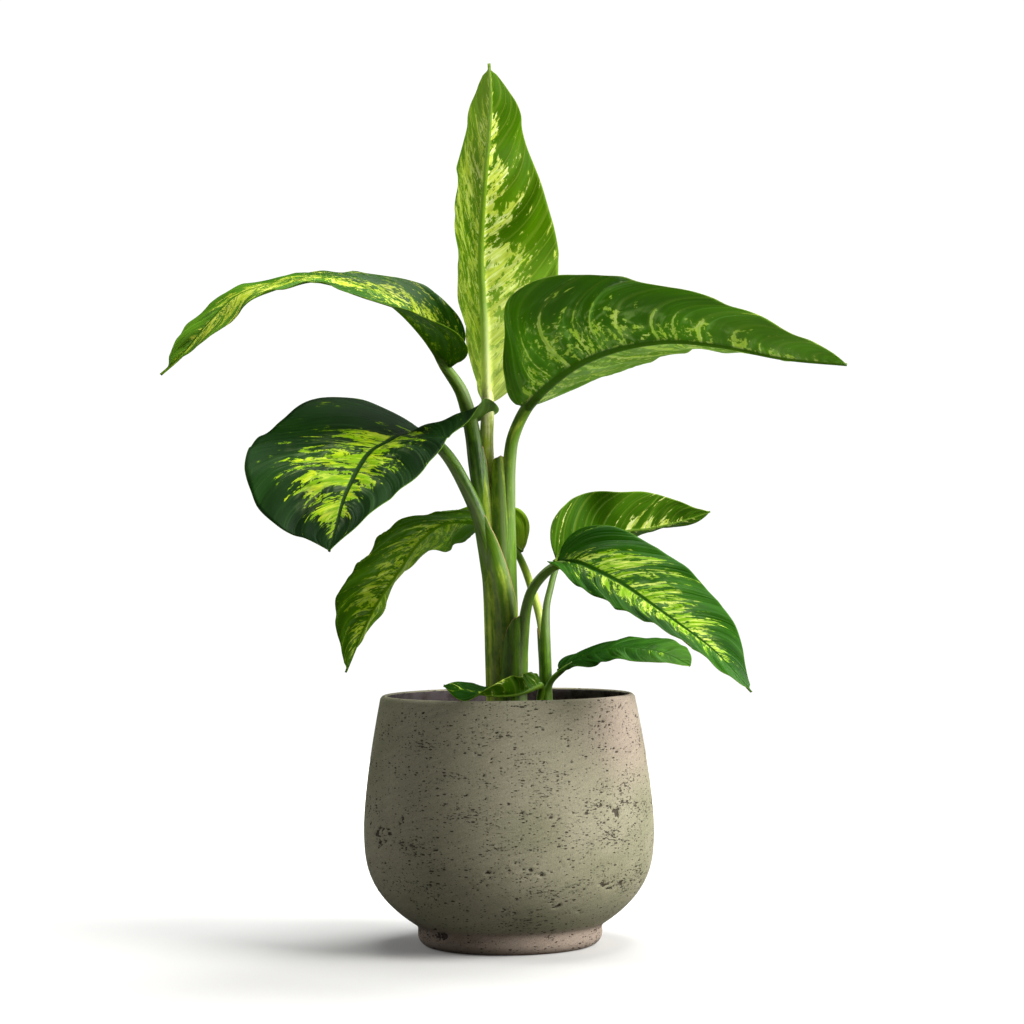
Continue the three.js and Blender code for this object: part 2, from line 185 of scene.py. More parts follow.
def between_stations(at, values, slopes, t):
    """Cubic reading at t of the rows of values, which stand at the places at."""
    k = np.clip(np.searchsorted(at, t) - 1, 0, len(at) - 2)
    h = np.diff(at)[k][:, None]
    return hermite((values[k], values[k + 1]), (slopes[k] * h, slopes[k + 1] * h), (t - at[k])[:, None] / h)


def smooth_curve(points):
    """A function of t from 0 to 1, even along the chords, that passes smoothly through the points."""
    points = np.array(points, float)
    at, total = along_chords(points)
    gap = np.diff(at)[:, None]
    slope = np.diff(points, axis=0) / gap
    middle = (slope[:-1] * gap[1:] + slope[1:] * gap[:-1]) / (gap[:-1] + gap[1:])
    tangents = np.vstack([slope[:1], middle, slope[-1:]])
    return lambda t: between_stations(at, points, tangents, np.clip(t, 0, 1)), total


def monotone(at, values, t):
    """A smooth reading of the columns of values at the stations, which never overshoots them."""
    slope = np.diff(values, axis=0) / np.diff(at)[:, None]
    product = slope[:-1] * slope[1:]
    total = slope[:-1] + slope[1:]
    middle = np.where(product > 0, 2 * product / np.where(total == 0, 1, total), 0)
    return between_stations(at, values, np.vstack([slope[:1], middle, slope[-1:]]), t)


def evenly(values, t):
    """Evenly spaced values, which gap between them each t falls in, and how far along the gap it is."""
    values = np.array(values, float)
    x = np.clip(t, 0, 1) * (len(values) - 1)
    k = np.minimum(x.astype(int), len(values) - 2)
    return values, k, x - k


def eased(values, t):
    """Eased reading of evenly spaced values."""
    values, k, f = evenly(values, t)
    f = smoothstep(0, 1, f)
    if values.ndim > 1:
        f = f[:, None]
    return values[k] * (1 - f) + values[k + 1] * f


def flowing(values, t):
    """Smooth reading of evenly spaced values, with no flat spots at them."""
    values, k, f = evenly(values, t)
    slopes = np.gradient(values)
    return hermite((values[k], values[k + 1]), (slopes[k], slopes[k + 1]), f)


def unit(vectors):
    return vectors / np.linalg.norm(vectors, axis=-1, keepdims=True)


def headings(place, t):
    return unit(place(np.minimum(t + 0.01, 1)) - place(np.maximum(t - 0.01, 0)))


def smoothstep(low, high, x):
    s = np.clip((x - low) / (high - low), 0, 1)
    return s * s * (3 - 2 * s)


# ---------- meshes ----------
def linked(name, data):
    """A new object of the data, linked to the scene."""
    made = bpy.data.objects.new(name, data)
    bpy.context.scene.collection.objects.link(made)
    return made


def mesh_object(name, vertices, faces, materials, face_slots=None):
    """A new smooth-shaded object, in metres, from vertices in metres."""
    mesh = bpy.data.meshes.new(name)
    mesh.from_pydata([tuple(v) for v in vertices], [], [tuple(f) for f in faces])
    for material in materials:
        mesh.materials.append(material)
    if face_slots is not None:
        mesh.polygons.foreach_set("material_index", np.asarray(face_slots, dtype=np.int32))
    mesh.polygons.foreach_set("use_smooth", [True] * len(mesh.polygons))
    mesh.update()
    return linked(name, mesh)


def set_vectors(mesh, name, values):
    layer = mesh.attributes.new(name, "FLOAT_VECTOR", "POINT")
    layer.data.foreach_set("vector", np.ascontiguousarray(values, dtype=np.float32).ravel())


def grid_faces(rows, columns, first=0, closed=False, flip=False):
    """Quads between rows of points, each row with the given number of columns."""
    faces = []
    for i in range(rows - 1):
        for j in range(columns if closed else columns - 1):
            a = first + i * columns + j
            b = first + i * columns + (j + 1) % columns
            quad = (a, b, b + columns, a + columns)
            faces.append(quad[::-1] if flip else quad)
    return faces


def end_faces(rows, columns):
    """The faces that close the first and the last row of a closed grid."""
    return [list(range(columns))[::-1], [(rows - 1) * columns + k for k in range(columns)]]


def turned(profile, sides):
    """Points and faces of a profile of radii and heights turned about Z, closed at both ends."""
    turns = np.linspace(0, 2 * math.pi, sides, endpoint=False)
    points = [(r * math.cos(w), r * math.sin(w), z) for r, z in profile for w in turns]
    return points, grid_faces(len(profile), sides, closed=True) + end_faces(len(profile), sides)


def grown(name, base, tree, inputs):
    """Runs a Geometry Nodes tree on the base object and keeps its result as a plain mesh."""
    modifier = base.modifiers.new(tree.name, "NODES")
    modifier.node_group = tree
    sockets = {item.name: item.identifier for item in tree.interface.items_tree if item.in_out == "INPUT"}
    for label, value in inputs.items():
        modifier[sockets[label]] = value
    graph = bpy.context.evaluated_depsgraph_get()
    graph.update()
    mesh = bpy.data.meshes.new_from_object(base.evaluated_get(graph), depsgraph=graph)
    base.modifiers.remove(modifier)
    mesh.name = name
    made = linked(name, mesh)
    old = base.data
    bpy.data.objects.remove(base)
    bpy.data.meshes.remove(old)
    return made


def place_in_frame(piece, node):
    """Hides the CAD node that the piece stands for, and rides the piece on the body."""
    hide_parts(node)
    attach(piece, BODY)


# ---------- node building ----------
class Value:
    """An output of a node. Adding, subtracting and multiplying with it adds math nodes."""

    def __init__(self, nodes, socket):
        self.nodes = nodes
        self.socket = socket

    def __add__(self, other):
        return self.nodes.math("ADD", self, other)

    def __sub__(self, other):
        return self.nodes.math("SUBTRACT", self, other)

    def __rsub__(self, other):
        return self.nodes.math("SUBTRACT", other, self)

    def __mul__(self, other):
        return self.nodes.math("MULTIPLY", self, other)

    __radd__ = __add__


class Nodes:
    """Short words for adding nodes to a shader or geometry tree."""

    def __init__(self, tree):
        self.tree = tree

    def add(self, kind, inputs=None, **settings):
        node = self.tree.nodes.new(kind)
        for key, value in settings.items():
            setattr(node, key, value)
        for key, value in (inputs or {}).items():
            self.feed(node.inputs[key], value)
        return node

    def take(self, kind, inputs=None, output=0, **settings):
        """Adds a node and takes one of its outputs."""
        return Value(self, self.add(kind, inputs, **settings).outputs[output])

    def feed(self, socket, value):
        if isinstance(value, Value):
            self.tree.links.new(value.socket, socket)
        elif socket.type == "RGBA" and len(value) == 3:
            socket.default_value = (*value, 1)
        else:
            socket.default_value = value

    def math(self, operation, a, b=0.0):
        return self.take("ShaderNodeMath", {0: a, 1: b}, operation=operation)

    def vector(self, operation, a, b=None, output="Vector"):
        inputs = {0: a} if b is None else {0: a, 1: b}
        return self.take("ShaderNodeVectorMath", inputs, output, operation=operation)

    def join(self, x, y, z):
        return self.take("ShaderNodeCombineXYZ", {0: x, 1: y, 2: z})

    def split(self, vector):
        return [Value(self, part) for part in self.add("ShaderNodeSeparateXYZ", {0: vector}).outputs]

    def step(self, value, low, high, start=0.0, end=1.0):
        """value eased from start to end while it goes from low to high."""
        inputs = {0: value, 1: low, 2: high, 3: start, 4: end}
        return self.take("ShaderNodeMapRange", inputs, interpolation_type="SMOOTHSTEP")

    def object_place(self):
        return self.take("ShaderNodeTexCoord", output="Object")

    def attribute(self, name):
        return self.take("ShaderNodeAttribute", output="Vector", attribute_name=name)

    def scaled(self, vector, x, y, z, shift=(0, 0, 0)):
        return self.take("ShaderNodeMapping", {"Vector": vector, "Location": shift, "Scale": (x, y, z)})

    def noise(self, vector, scale, detail=2.0, roughness=0.5, distortion=0.0):
        inputs = {"Vector": vector, "Scale": scale, "Detail": detail, "Roughness": roughness, "Distortion": distortion}
        return self.take("ShaderNodeTexNoise", inputs, "Fac")

    def drawn(self, vector, x, y, z, *grain, shift=(0, 0, 0)):
        """Noise drawn out or packed along each axis; grain is its detail, roughness and distortion."""
        return self.noise(self.scaled(vector, x, y, z, shift), 1, *grain)

    def cells(self, vector, scale):
        """How far the nearest of scattered points is, and a random number that goes with that point."""
        node = self.add("ShaderNodeTexVoronoi", {"Vector": vector, "Scale": scale}, feature="F1")
        return Value(self, node.outputs["Distance"]), self.split(Value(self, node.outputs["Color"]))[0]

    def mix(self, factor, a, b, blend="MIX"):
        return self.take("ShaderNodeMix", {0: factor, 6: a, 7: b}, 2, data_type="RGBA", blend_type=blend)

    def shaded(self, tint, value, low, high):
        """tint darkened or lightened as value goes from 0 to 1."""
        grey = self.take("ShaderNodeMapRange", {0: value, 3: low, 4: high})
        return self.mix(1.0, tint, self.join(grey, grey, grey), "MULTIPLY")


def new_material(name):
    material = bpy.data.materials.new(name)
    material.use_nodes = True
    material.node_tree.nodes.clear()
    return material, Nodes(material.node_tree)


def finish_material(n, tint, roughness, height, bump, specular, glow=0.0, glow_tint=None):
    """Ends a material in a glossy surface, partly see-through to light where glow is above 0."""
    relief = n.take("ShaderNodeBump", {"Height": height, "Distance": bump, "Strength": 1.0})
    inputs = {"Base Color": tint, "Roughness": roughness, "Normal": relief, "Specular IOR Level": specular}
    end = n.take("ShaderNodeBsdfPrincipled", inputs)
    if glow:
        through = n.take("ShaderNodeBsdfTranslucent", {"Color": glow_tint or tint, "Normal": relief})
        end = n.take("ShaderNodeMixShader", {0: glow, 1: end, 2: through})
    n.add("ShaderNodeOutputMaterial", {"Surface": end})


def new_tree(name, *numbers):
    """A Geometry Nodes tree with named inputs, its node builder, and its inputs by name."""
    tree = bpy.data.node_groups.new(name, "GeometryNodeTree")
    kinds = {"Geometry": "Geometry", **dict.fromkeys(numbers, "Float"), "Seed": "Int", "Material": "Material"}
    for label, kind in kinds.items():
        tree.interface.new_socket(label, in_out="INPUT", socket_type="NodeSocket" + kind)
    tree.interface.new_socket("Geometry", in_out="OUTPUT", socket_type="NodeSocketGeometry")
    n = Nodes(tree)
    entry = n.add("NodeGroupInput").outputs
    return tree, n, {label: Value(n, entry[label]) for label in kinds}


def stored(n, geometry, name, vector, domain):
    """The geometry with the vector kept on it as a named attribute."""
    node = n.add(
        "GeometryNodeStoreNamedAttribute", {"Geometry": geometry, "Name": name}, data_type="FLOAT_VECTOR", domain=domain
    )
    n.feed(next(socket for socket in node.inputs if socket.name == "Value" and socket.enabled), vector)
    return Value(n, node.outputs[0])


def finish_tree(n, geometry, material):
    real = n.take("GeometryNodeRealizeInstances", {0: geometry})
    painted = n.take("GeometryNodeSetMaterial", {"Geometry": real, "Material": material})
    n.add("NodeGroupOutput", {"Geometry": painted})


# ---------- planter ----------
STAIN_PLACE = (0.075, -0.04, 0.158)


def concrete_material(s):
    material, n = new_material("pitted_concrete")
    place = n.object_place()
    x, y, z = n.split(place)
    tint = n.mix(n.step(n.noise(place, 9, 4, 0.6), 0.42, 0.68), s.concrete, s.concrete_dark)
    warm = n.noise(n.scaled(place, 1, 1, 1, (0.37, 0.2, 0.11)), 7, 3, 0.55)
    tint = n.mix(n.step(warm, 0.5, 0.72), tint, s.concrete_warm)
    from_stain = n.vector("DISTANCE", place, STAIN_PLACE, "Value")
    stain = n.step(from_stain + warm * 0.04, 0.03, 0.085, 1.0, 0.0)
    tint = n.mix(stain * 0.6, tint, s.stain)
    tint = n.mix(n.step(z, s.foot_height - 0.001, s.foot_height + 0.006, 0.7, 0.0), tint, s.stain)
    tint = n.mix(n.step(z, 0.0, 0.0016, 0.75, 0.0), tint, s.rust)

    turn = n.math("ARCTAN2", y, x) * 0.1
    brush = n.noise(n.scaled(n.join(turn, 0.0, z - turn * 0.3), 28, 1, 420), 1, 3, 0.6, 0.6)
    tint = n.shaded(tint, brush, 0.8, 1.2)
    grain = n.noise(place, 1300, 3, 0.75)
    tint = n.shaded(tint, grain, 0.3, 1.7)

    clusters = n.drawn(place, 30, 30, 66, 3, 0.6, shift=(3, 1, 2))
    torn = n.drawn(place, 260, 260, 900, 4, 0.7)
    hole = n.step(torn + (clusters - 0.5) * 0.5, 0.645, 0.675)
    wobble = n.noise(place, 1500, 2, 0.6)
    for scale, rare, largest in ((260, 0.8, 0.34), (520, 0.78, 0.38)):
        distance, chance = n.cells(n.scaled(place, 0.8, 0.8, 2.0), scale)
        size = n.step(chance + clusters * 0.45, rare, rare + 0.5, 0.0, largest)
        hole = n.math("MAXIMUM", hole, n.step(distance + wobble * 0.1 - size, 0.0, 0.1, 1.0, 0.0))
    pit = n.split(n.attribute("pit"))[0]
    hole = n.math("MAXIMUM", hole, n.step(pit + (wobble - 0.5) * 0.8, 0.4, 0.65))
    # Painted shade: the pits are darkened for the shade inside them, also where they are only in the bump.
    tint = n.mix(hole * 0.82, tint, s.pit_shade_and_blotch)
    finish_material(n, tint, 0.92, grain * 0.3 - hole + brush * 0.25, 0.0005, 0.2)
    return material


def inner_material(s):
    material, n = new_material("inner_concrete")
    place = n.object_place()
    patches = n.noise(place, 60, 5, 0.7)
    tint = n.shaded(n.mix(n.step(patches, 0.4, 0.7), s.inner, s.pit_shade_and_blotch), patches, 0.8, 1.15)
    finish_material(n, tint, 0.9, n.noise(place, 700, 3, 0.7), 0.0006, 0.25)
    return material


INSIDE_LOW = 0.028  # where the inner wall meets the rounded bottom
THICKER_BELOW = 0.05  # the wall is a little thicker below this height
FOOT_ROWS = 8
UPRIGHT_ROWS = 4
OUTSIDE_ROWS = 142
INSIDE_ROWS = 26
TOWARDS_FOOT = 1.12  # above 1, the rows of the outside are closer at the foot
# Points over the lip: how far in from its radius, and how far down from its top.
LIP = [(0.0003, 0.0012), (0.0009, 0.0005), (0.0018, 0.0001), (0.0028, 0), (0.0037, 0.0003), (0.0043, 0.001)]


def bowl_radius(s, z):
    below = s.foot_radius + (s.belly_radius - s.foot_radius) * (
        1 - np.clip((s.belly_height - z) / (s.belly_height - s.foot_height), 0, 1) ** 3
    )
    rise = np.clip((z - s.belly_height) / (s.height - s.belly_height), 0, 1)
    above = s.belly_radius - (s.belly_radius - s.rim_radius) * rise**1.45
    return np.where(z < s.belly_height, below, above)


def inner_wall(s, z, near, low):
    """Radii and heights along the inner wall, near metres inside it, and low metres inside it below."""
    return np.stack([bowl_radius(s, z) - s.wall - np.where(z < THICKER_BELOW, low, near), z], 1)


def planter_profile(s):
    """The outside, up from the middle of the underside to the lip, and the inside, down to the middle."""
    rounding, gap, below_lip = 0.008, 0.001, 0.0022
    turn = np.linspace(0, math.pi / 2, FOOT_ROWS + 1)[1:]
    foot = np.stack([s.foot_radius - rounding + rounding * np.sin(turn), rounding * (1 - np.cos(turn))], 1)
    z = np.linspace(rounding + 0.0015, s.foot_height - gap, UPRIGHT_ROWS)
    upright = np.stack([np.full(UPRIGHT_ROWS, s.foot_radius), z], 1)
    lowest = s.foot_height + gap
    z = lowest + (s.height - below_lip - lowest) * np.linspace(0, 1, OUTSIDE_ROWS) ** TOWARDS_FOOT
    outside = np.stack([bowl_radius(s, z), z], 1)
    lip = np.array([(s.rim_radius - inwards, s.height - down) for inwards, down in LIP])
    inside = inner_wall(s, np.linspace(s.height - below_lip, INSIDE_LOW, INSIDE_ROWS), 0, 0.002)
    bottom = np.array([(0.062, s.floor + 0.004), (0.054, s.floor), (0.03, s.floor), (0.0015, s.floor)])
    start = np.array([(0.0015, 0), (0.03, 0), (s.foot_radius - rounding, 0)])
    return np.vstack([start, foot, upright, outside, lip]), np.vstack([inside, bottom])


def pitting_tree():
    """Sinks air pits into a surface: wide along the wall, in loose clusters, each with its own size."""
    tree, n, entry = new_tree("air_pits", "Spacing", "Depth", "Top")
    position = n.take("GeometryNodeInputPosition")
    moved = n.vector("ADD", position, n.join(entry["Seed"] * 0.37, entry["Seed"] * 0.73, 0.0))
    flat = n.vector("MULTIPLY", moved, (1, 1, 2.2))
    distance, chance = n.cells(flat, n.math("DIVIDE", 1.0, entry["Spacing"]))
    clusters = n.noise(flat, 34)
    wobble = n.noise(flat, 700, 1)
    ragged = n.step(n.noise(flat, 210, 4) + (clusters - 0.5) * 0.95, 0.7, 0.78)
    size = n.step(chance + clusters * 0.7, 1.22, 1.4, 0.0, 0.2)
    single = n.step(distance + (wobble - 0.5) * 0.3 - size, -0.02, 0.08, 1.0, 0.0)
    height = n.split(position)[2]
    outward = n.take("GeometryNodeInputNormal")
    outer = n.step(n.vector("DOT_PRODUCT", outward, position, "Value"), 0.0, 0.004)
    pit = n.math("MAXIMUM", single, ragged)
    below_lip = n.step(height, entry["Top"], entry["Top"] + 0.002, 1.0, 0.0)
    for allowed in (n.step(height, 0.003, 0.006), below_lip, n.step(chance, 0.02, 0.03), outer):
        pit = pit * allowed
    marked = stored(n, entry["Geometry"], "pit", n.join(pit, outer, 0.0), "POINT")
    sink = n.add("ShaderNodeVectorMath", {0: outward}, operation="SCALE")
    n.feed(sink.inputs["Scale"], pit * entry["Depth"] * -1.0)
    sunk = n.take("GeometryNodeSetPosition", {"Geometry": marked, "Offset": Value(n, sink.outputs[0])})
    finish_tree(n, sunk, entry["Material"])
    return tree


class DUMBCANE_OT_planter(bpy.types.Operator):
    """Turns the footed bowl and sinks air pits into its outside"""

    bl_idname = "dumbcane.planter"
    bl_label = "Planter"

    def execute(self, context):
        s = context.scene.planter_settings
        outside, inside = planter_profile(s)
        outer = concrete_material(s)
        base = mesh_object("planter_base", *turned(np.vstack([outside, inside]), s.segments), [outer])
        inputs = {
            "Spacing": s.pit_spacing,
            "Depth": s.pit_depth,
            "Seed": s.seed,
            "Top": s.height - 0.006,
            "Material": outer,
        }
        piece = grown("concrete_planter", base, pitting_tree(), inputs)
        piece.data.materials.append(inner_material(s))
        slots = np.zeros(len(piece.data.polygons), dtype=np.int32)
        slots[(len(outside) - 1) * s.segments : -2] = 1
        slots[-1] = 1
        piece.data.polygons.foreach_set("material_index", slots)
        place_in_frame(piece, "planter")
        return {"FINISHED"}


# ---------- soil ----------
SOIL_SIDES = 150
SOIL_WALL_ROWS = 14
SOIL_TOP_ROWS = 60
MOUND_RADIUS = 0.074


def soil_material(s):
    material, n = new_material("potting_soil")
    place = n.object_place()
    fibres = n.noise(place, 420, 4, 0.7)
    tint = n.mix(n.step(fibres, 0.5, 0.72), s.dark, s.light)
    own = n.split(n.attribute("crumb"))[0]
    tint = n.mix(n.step(own, 0.72, 1.0), tint, s.light)
    tint = n.shaded(tint, own, 0.75, 1.2)
    finish_material(n, tint, 0.95, n.noise(place, 900, 3, 0.7), 0.0008, 0.2)
    return material


def crumb_tree():
    """Roughens the top of the soil and scatters crumbs and bits of bark over it."""
    tree, n, entry = new_tree("soil_crumbs", "Crumb size", "Density", "Level")

    def random(shift, low, high):
        inputs = {"Min": low, "Max": high, "Seed": entry["Seed"] + shift}
        return n.take("FunctionNodeRandomValue", inputs, data_type="FLOAT_VECTOR")

    position = n.take("GeometryNodeInputPosition")
    height = n.split(position)[2]
    on_top = n.take("FunctionNodeCompare", {0: height, 1: entry["Level"]}, operation="GREATER_THAN")
    lift = n.join(0.0, 0.0, (n.noise(position, 90, 3) - 0.5) * 0.0045)
    rough = n.take("GeometryNodeSetPosition", {"Geometry": entry["Geometry"], "Selection": on_top, "Offset": lift})
    points = n.take(
        "GeometryNodeDistributePointsOnFaces",
        {"Mesh": rough, "Selection": on_top, "Density": entry["Density"], "Seed": entry["Seed"]},
        "Points",
        distribute_method="RANDOM",
    )
    crumb = n.take("GeometryNodeMeshIcoSphere", {"Radius": entry["Crumb size"], "Subdivisions": 1}, "Mesh")
    turn = n.take("FunctionNodeEulerToRotation", {0: random(3, (0, 0, 0), (6.28, 6.28, 6.28))})
    size = random(7, (0.25, 0.2, 0.15), (1.0, 0.7, 0.6))
    crumbs = n.take(
        "GeometryNodeInstanceOnPoints", {"Points": points, "Instance": crumb, "Rotation": turn, "Scale": size}
    )
    joined = n.add("GeometryNodeJoinGeometry")
    for geometry in (stored(n, crumbs, "crumb", random(13, (0, 0, 0), (1, 1, 1)), "INSTANCE"), rough):
        n.feed(joined.inputs[0], geometry)
    finish_tree(n, Value(n, joined.outputs[0]), entry["Material"])
    return tree


class DUMBCANE_OT_soil(bpy.types.Operator):
    """Fills the bowl with soil and scatters crumbs over it"""

    bl_idname = "dumbcane.soil"
    bl_label = "Potting soil"

    def execute(self, context):
        s = context.scene.soil_settings
        edge = SOIL_HIGH[2] - s.mound
        floor = SOIL_LOW[2]
        bottom = [(0.001, floor), (0.053, floor), (0.061, floor + 0.004)]
        heights = np.linspace(INSIDE_LOW, edge - 0.001, SOIL_WALL_ROWS)
        wall = inner_wall(context.scene.planter_settings, heights, 0.0003, 0.0023)
        r = np.linspace(wall[-1, 0] - 0.001, 0.001, SOIL_TOP_ROWS)
        top = np.stack([r, edge + s.mound * np.cos(np.minimum(r / MOUND_RADIUS, 1) * math.pi / 2)], 1)
        material = soil_material(s)
        base = mesh_object("soil_base", *turned(np.vstack([bottom, wall, top]), SOIL_SIDES), [material])
        inputs = {
            "Crumb size": s.crumb_size,
            "Density": s.crumb_density,
            "Seed": s.seed,
            "Level": edge - 0.0005,
            "Material": material,
        }
        place_in_frame(grown("soil", base, crumb_tree(), inputs), "potting_soil")
        return {"FINISHED"}


# ---------- stalks ----------
# A tube is solid, with a shallow channel between its margins, which face one way all along it. A sheath is a
# thin wall between its margins, open on the other side. Stations run from foot to tip: x, y, z and radius in
# millimetres, then, in a sheath only, the angles of the two margins in degrees (0 is +X, -90 is -Y), and last
# how pale it is.
FACING_LEFT = (-150, 150)
FACING_RIGHT = (-35, -325)
STALKS = {
    "main_cane": {
        "facing": FACING_LEFT,
        "tube": [(3, -5, 150, 8.8, 0), (1, -5, 180, 8.6, 0), (-1, -6, 208, 7.4, 0)],
    },
    # Its tone rises to cream towards the top: partly the young stalk's own colour and partly painted light, for the
    # glow of light from behind.
    "top_leaf_stalk": {
        "facing": FACING_LEFT,
        "tube": [(-3, -2, 208.6, 5, 0.4), (-6, -2, 271, 5, 0.5), (-11, -3, 320, 5, 0.6), (-13, -6, 355, 5, 0.7),
                 (-12, -8, 381, 4.8, 0.85), (-12.3, -11, 396, 2.6, 1.1)],
    },
    "upper_left_leaf_stalk": {
        "facing": FACING_RIGHT,
        "tube": [(-15, -9, 300, 5.5, 0.15), (-20, -10.6, 340, 6.1, -0.55), (-22, -11, 358, 5.9, -0.4),
                 (-29, -13, 387, 5, 0), (-42, -14.5, 408, 3.8, 0.05), (-49, -18, 418, 1.8, 0.1)],
        "sheath": [(-3, -7, 208.6, 7.6, -50, -310, 0.3), (-10, -8, 271, 7.6, -50, -310, 0.4),
                   (-15.6, -8, 320, 7.2, -42, -312, 0.5), (-18, -8.4, 340, 6.6, -40, -312, -0.1),
                   (-19.4, -9, 353, 6.2, -48, -300, -0.3)],
    },
    "right_leaf_stalk": {
        "facing": FACING_LEFT,
        "tube": [(-0.5, -11, 236, 6.2, 0.05), (0, -11.5, 280, 6.4, 0.05), (1.6, -12.4, 310, 5.4, 0.05),
                 (2.4, -12.9, 332, 4.9, 0.05), (4.3, -13.5, 351, 4.7, 0), (8.4, -15.4, 364, 4.5, 0),
                 (18, -24, 380, 4.1, 0), (25, -39, 385, 2.2, 0)],
        "sheath": [(-1, -7, 208.6, 9.6, -150, 150, -0.1), (-2, -9, 271, 9.4, -150, 150, -0.05),
                   (-2, -9.6, 300, 8.9, -158, 145, 0.1), (-2.2, -9.6, 313, 8.5, -162, 140, 0.2),
                   (-2.5, -9.6, 331, 7.6, -168, 130, 0.2), (-2.6, -9.6, 344, 6.4, -160, 120, 0.2)],
    },
    "dark_left_leaf_stalk": {
        "facing": FACING_RIGHT,
        "tube": [(-5, -11.5, 236, 8.5, 0), (-9, -13, 262, 8.4, 0), (-13, -14.6, 280, 7, -0.15),
                 (-17.4, -16.6, 298, 5.7, -0.3), (-24.5, -18.6, 316, 5.2, -0.35), (-44, -23, 349, 4.4, -0.35),
                 (-55, -26, 356, 3.6, -0.35), (-60, -33, 355, 2, -0.35)],
        # The lower stations of this sheath are paler: painted light against the shade at the foot of the cane.
        "sheath": [(-2, -8, 150, 12.6, -5, -355, 0.25), (-3, -8, 190, 12.4, -8, -352, 0.3),
                   (-4, -10, 236, 12.1, -16, -344, 0.25), (-5.2, -11, 254, 11.5, -36, -330, 0.15),
                   (-7.2, -12, 268, 10.8, -47, -315, 0.05), (-9.3, -13, 283, 9.6, -64, -300, -0.05),
                   (-12.4, -14, 294, 8.2, -72, -290, -0.1), (-15.4, -15.2, 305, 6.4, -80, -280, -0.15)],
    },
    "front_right_leaf_stalk": {
        "facing": FACING_LEFT,
        "tube": [(6.5, -17.5, 186, 7, -0.1), (9, -19, 204, 5.6, -0.1), (11, -20.9, 219, 4.6, -0.1),
                 (13, -22.6, 234, 4, -0.1), (18, -27, 250, 3.6, -0.1), (37, -37, 267, 2.9, -0.1),
                 (44, -43, 267.5, 1.6, -0.1)],
        "sheath": [(3, -13, 150, 10.8, -170, 100, -0.3), (3.3, -14, 180, 10.5, -170, 100, -0.3),
                   (4.6, -15.5, 196, 10, -170, 100, -0.3), (5.3, -16.5, 208, 9.4, -166, 95, -0.3),
                   (6, -17.5, 220, 8.6, -144, 90, -0.3), (6.6, -18.2, 232.5, 7.8, -116, 90, -0.3)],
    },
    "rear_right_leaf_stalk": {
        "facing": FACING_LEFT,
        "tube": [(28, 12, 150, 4.8, -0.05), (27, 12, 190, 4.6, -0.25), (27, 12, 213, 4, -0.3),
                 (28, 14, 235, 2.8, -0.3), (31, 17, 249, 2.5, -0.3), (38, 23, 269, 2.1, -0.3),
                 (44, 26.5, 273, 1.2, -0.3)],
    },
    "lower_left_leaf_stalk": {
        "facing": FACING_RIGHT,
        "tube": [(27, 18, 150, 3.8, 0), (26.6, 21, 205, 3.6, 0.4), (25.3, 25.2, 221, 3.2, 0.6), (17, 38, 254, 3, 0.5),
                 (8, 42, 276, 2.6, 0.3), (1, 43.5, 285, 1.4, 0.3)],
        "sheath": [(27, 18, 150, 4.6, -120, -400, -0.1), (27, 19, 190, 4.4, -120, -400, -0.2),
                   (26, 22.5, 210, 4.1, -120, -400, -0.25), (25.4, 25, 221.5, 3.9, -140, -380, -0.3)],
    },
    "low_right_leaf_stalk": {
        "facing": FACING_LEFT,
        "tube": [(27, 5, 150, 3.6, -0.1), (27, 4, 172, 3.2, -0.1), (30, 4, 183, 2.4, -0.2), (40, 3, 193, 1.8, -0.2),
                 (46, 0, 197.4, 1, -0.2)],
    },
    "rim_leaf_stalk": {
        "facing": FACING_LEFT,
        "tube": [(22, 6, 150, 3.4, -0.1), (23, 3, 172, 3, -0.1), (24, -3, 180, 2.4, -0.2), (23, -13, 183, 1.8, -0.2),
                 (21.5, -21, 184, 1, -0.2)],
    },
}

CHANNEL = 0.1  # depth of a tube's channel, as a share of its radius
# The rest is in millimetres.
THIN_MARGIN = 0.45  # thickness of a sheath at its margins
THICKENING = 0.5  # how much thicker it is further in
THICKENED_AT = 4.0
DRY_SIDE = 0.6  # how wide the dry brown edge is, at the margins and at the top
DRY_TOP = 0.7


def stalk_material(s):
    material, n = new_material("stalk_skin")
    place = n.attribute("stalk_place")
    _, along, edge = n.split(place)
    tone = n.split(n.attribute("stalk_tone"))[0]
    wide = n.drawn(place, 0.28, 0.012, 0, 3, 0.6)
    fine = n.drawn(place, 1.8, 0.05, 0, 3, 0.6)
    blotch = n.drawn(place, 0.12, 0.05, 0, 4, 0.7, shift=(4, 0, 0))
    level = tone + (wide - 0.5) * 1.3 + (blotch - 0.5) * 1.4
    tint = n.mix(n.step(level, -0.8, 0.0), s.deep, s.green)
    tint = n.mix(n.step(level, 0.05, 0.6), tint, s.lime)
    tint = n.mix(n.step(level, 0.55, 1.0), tint, s.cream)
    tint = n.shaded(tint, fine, 0.66, 1.34)
    # Painted highlight: broad grey-green streaks stand in for the gloss along the stalk.
    sheen_streaks = n.drawn(place, 0.2, 0.008, 0, 2, 0.5, shift=(9, 3, 0))
    tint = n.mix(n.step(sheen_streaks, 0.46, 0.64, 0.0, 0.45), tint, s.grey_sheen)
    brown = n.drawn(place, 0.3, 0.03, 0, 4, 0.7, shift=(2, 8, 0))
    tint = n.mix(n.step(brown, 0.6, 0.75) * n.step(along, 10.0, 60.0, 0.6, 0.0), tint, s.stain)
    tint = n.mix(n.step(edge + (fine - 0.5) * 0.7, 0.45, 0.8), tint, s.margin)
    height = fine * 0.7 + wide * 0.3
    finish_material(n, tint, n.step(wide, 0.2, 0.8, 0.32, 0.44), height, 0.0003, 0.28, 0.05)
    return material


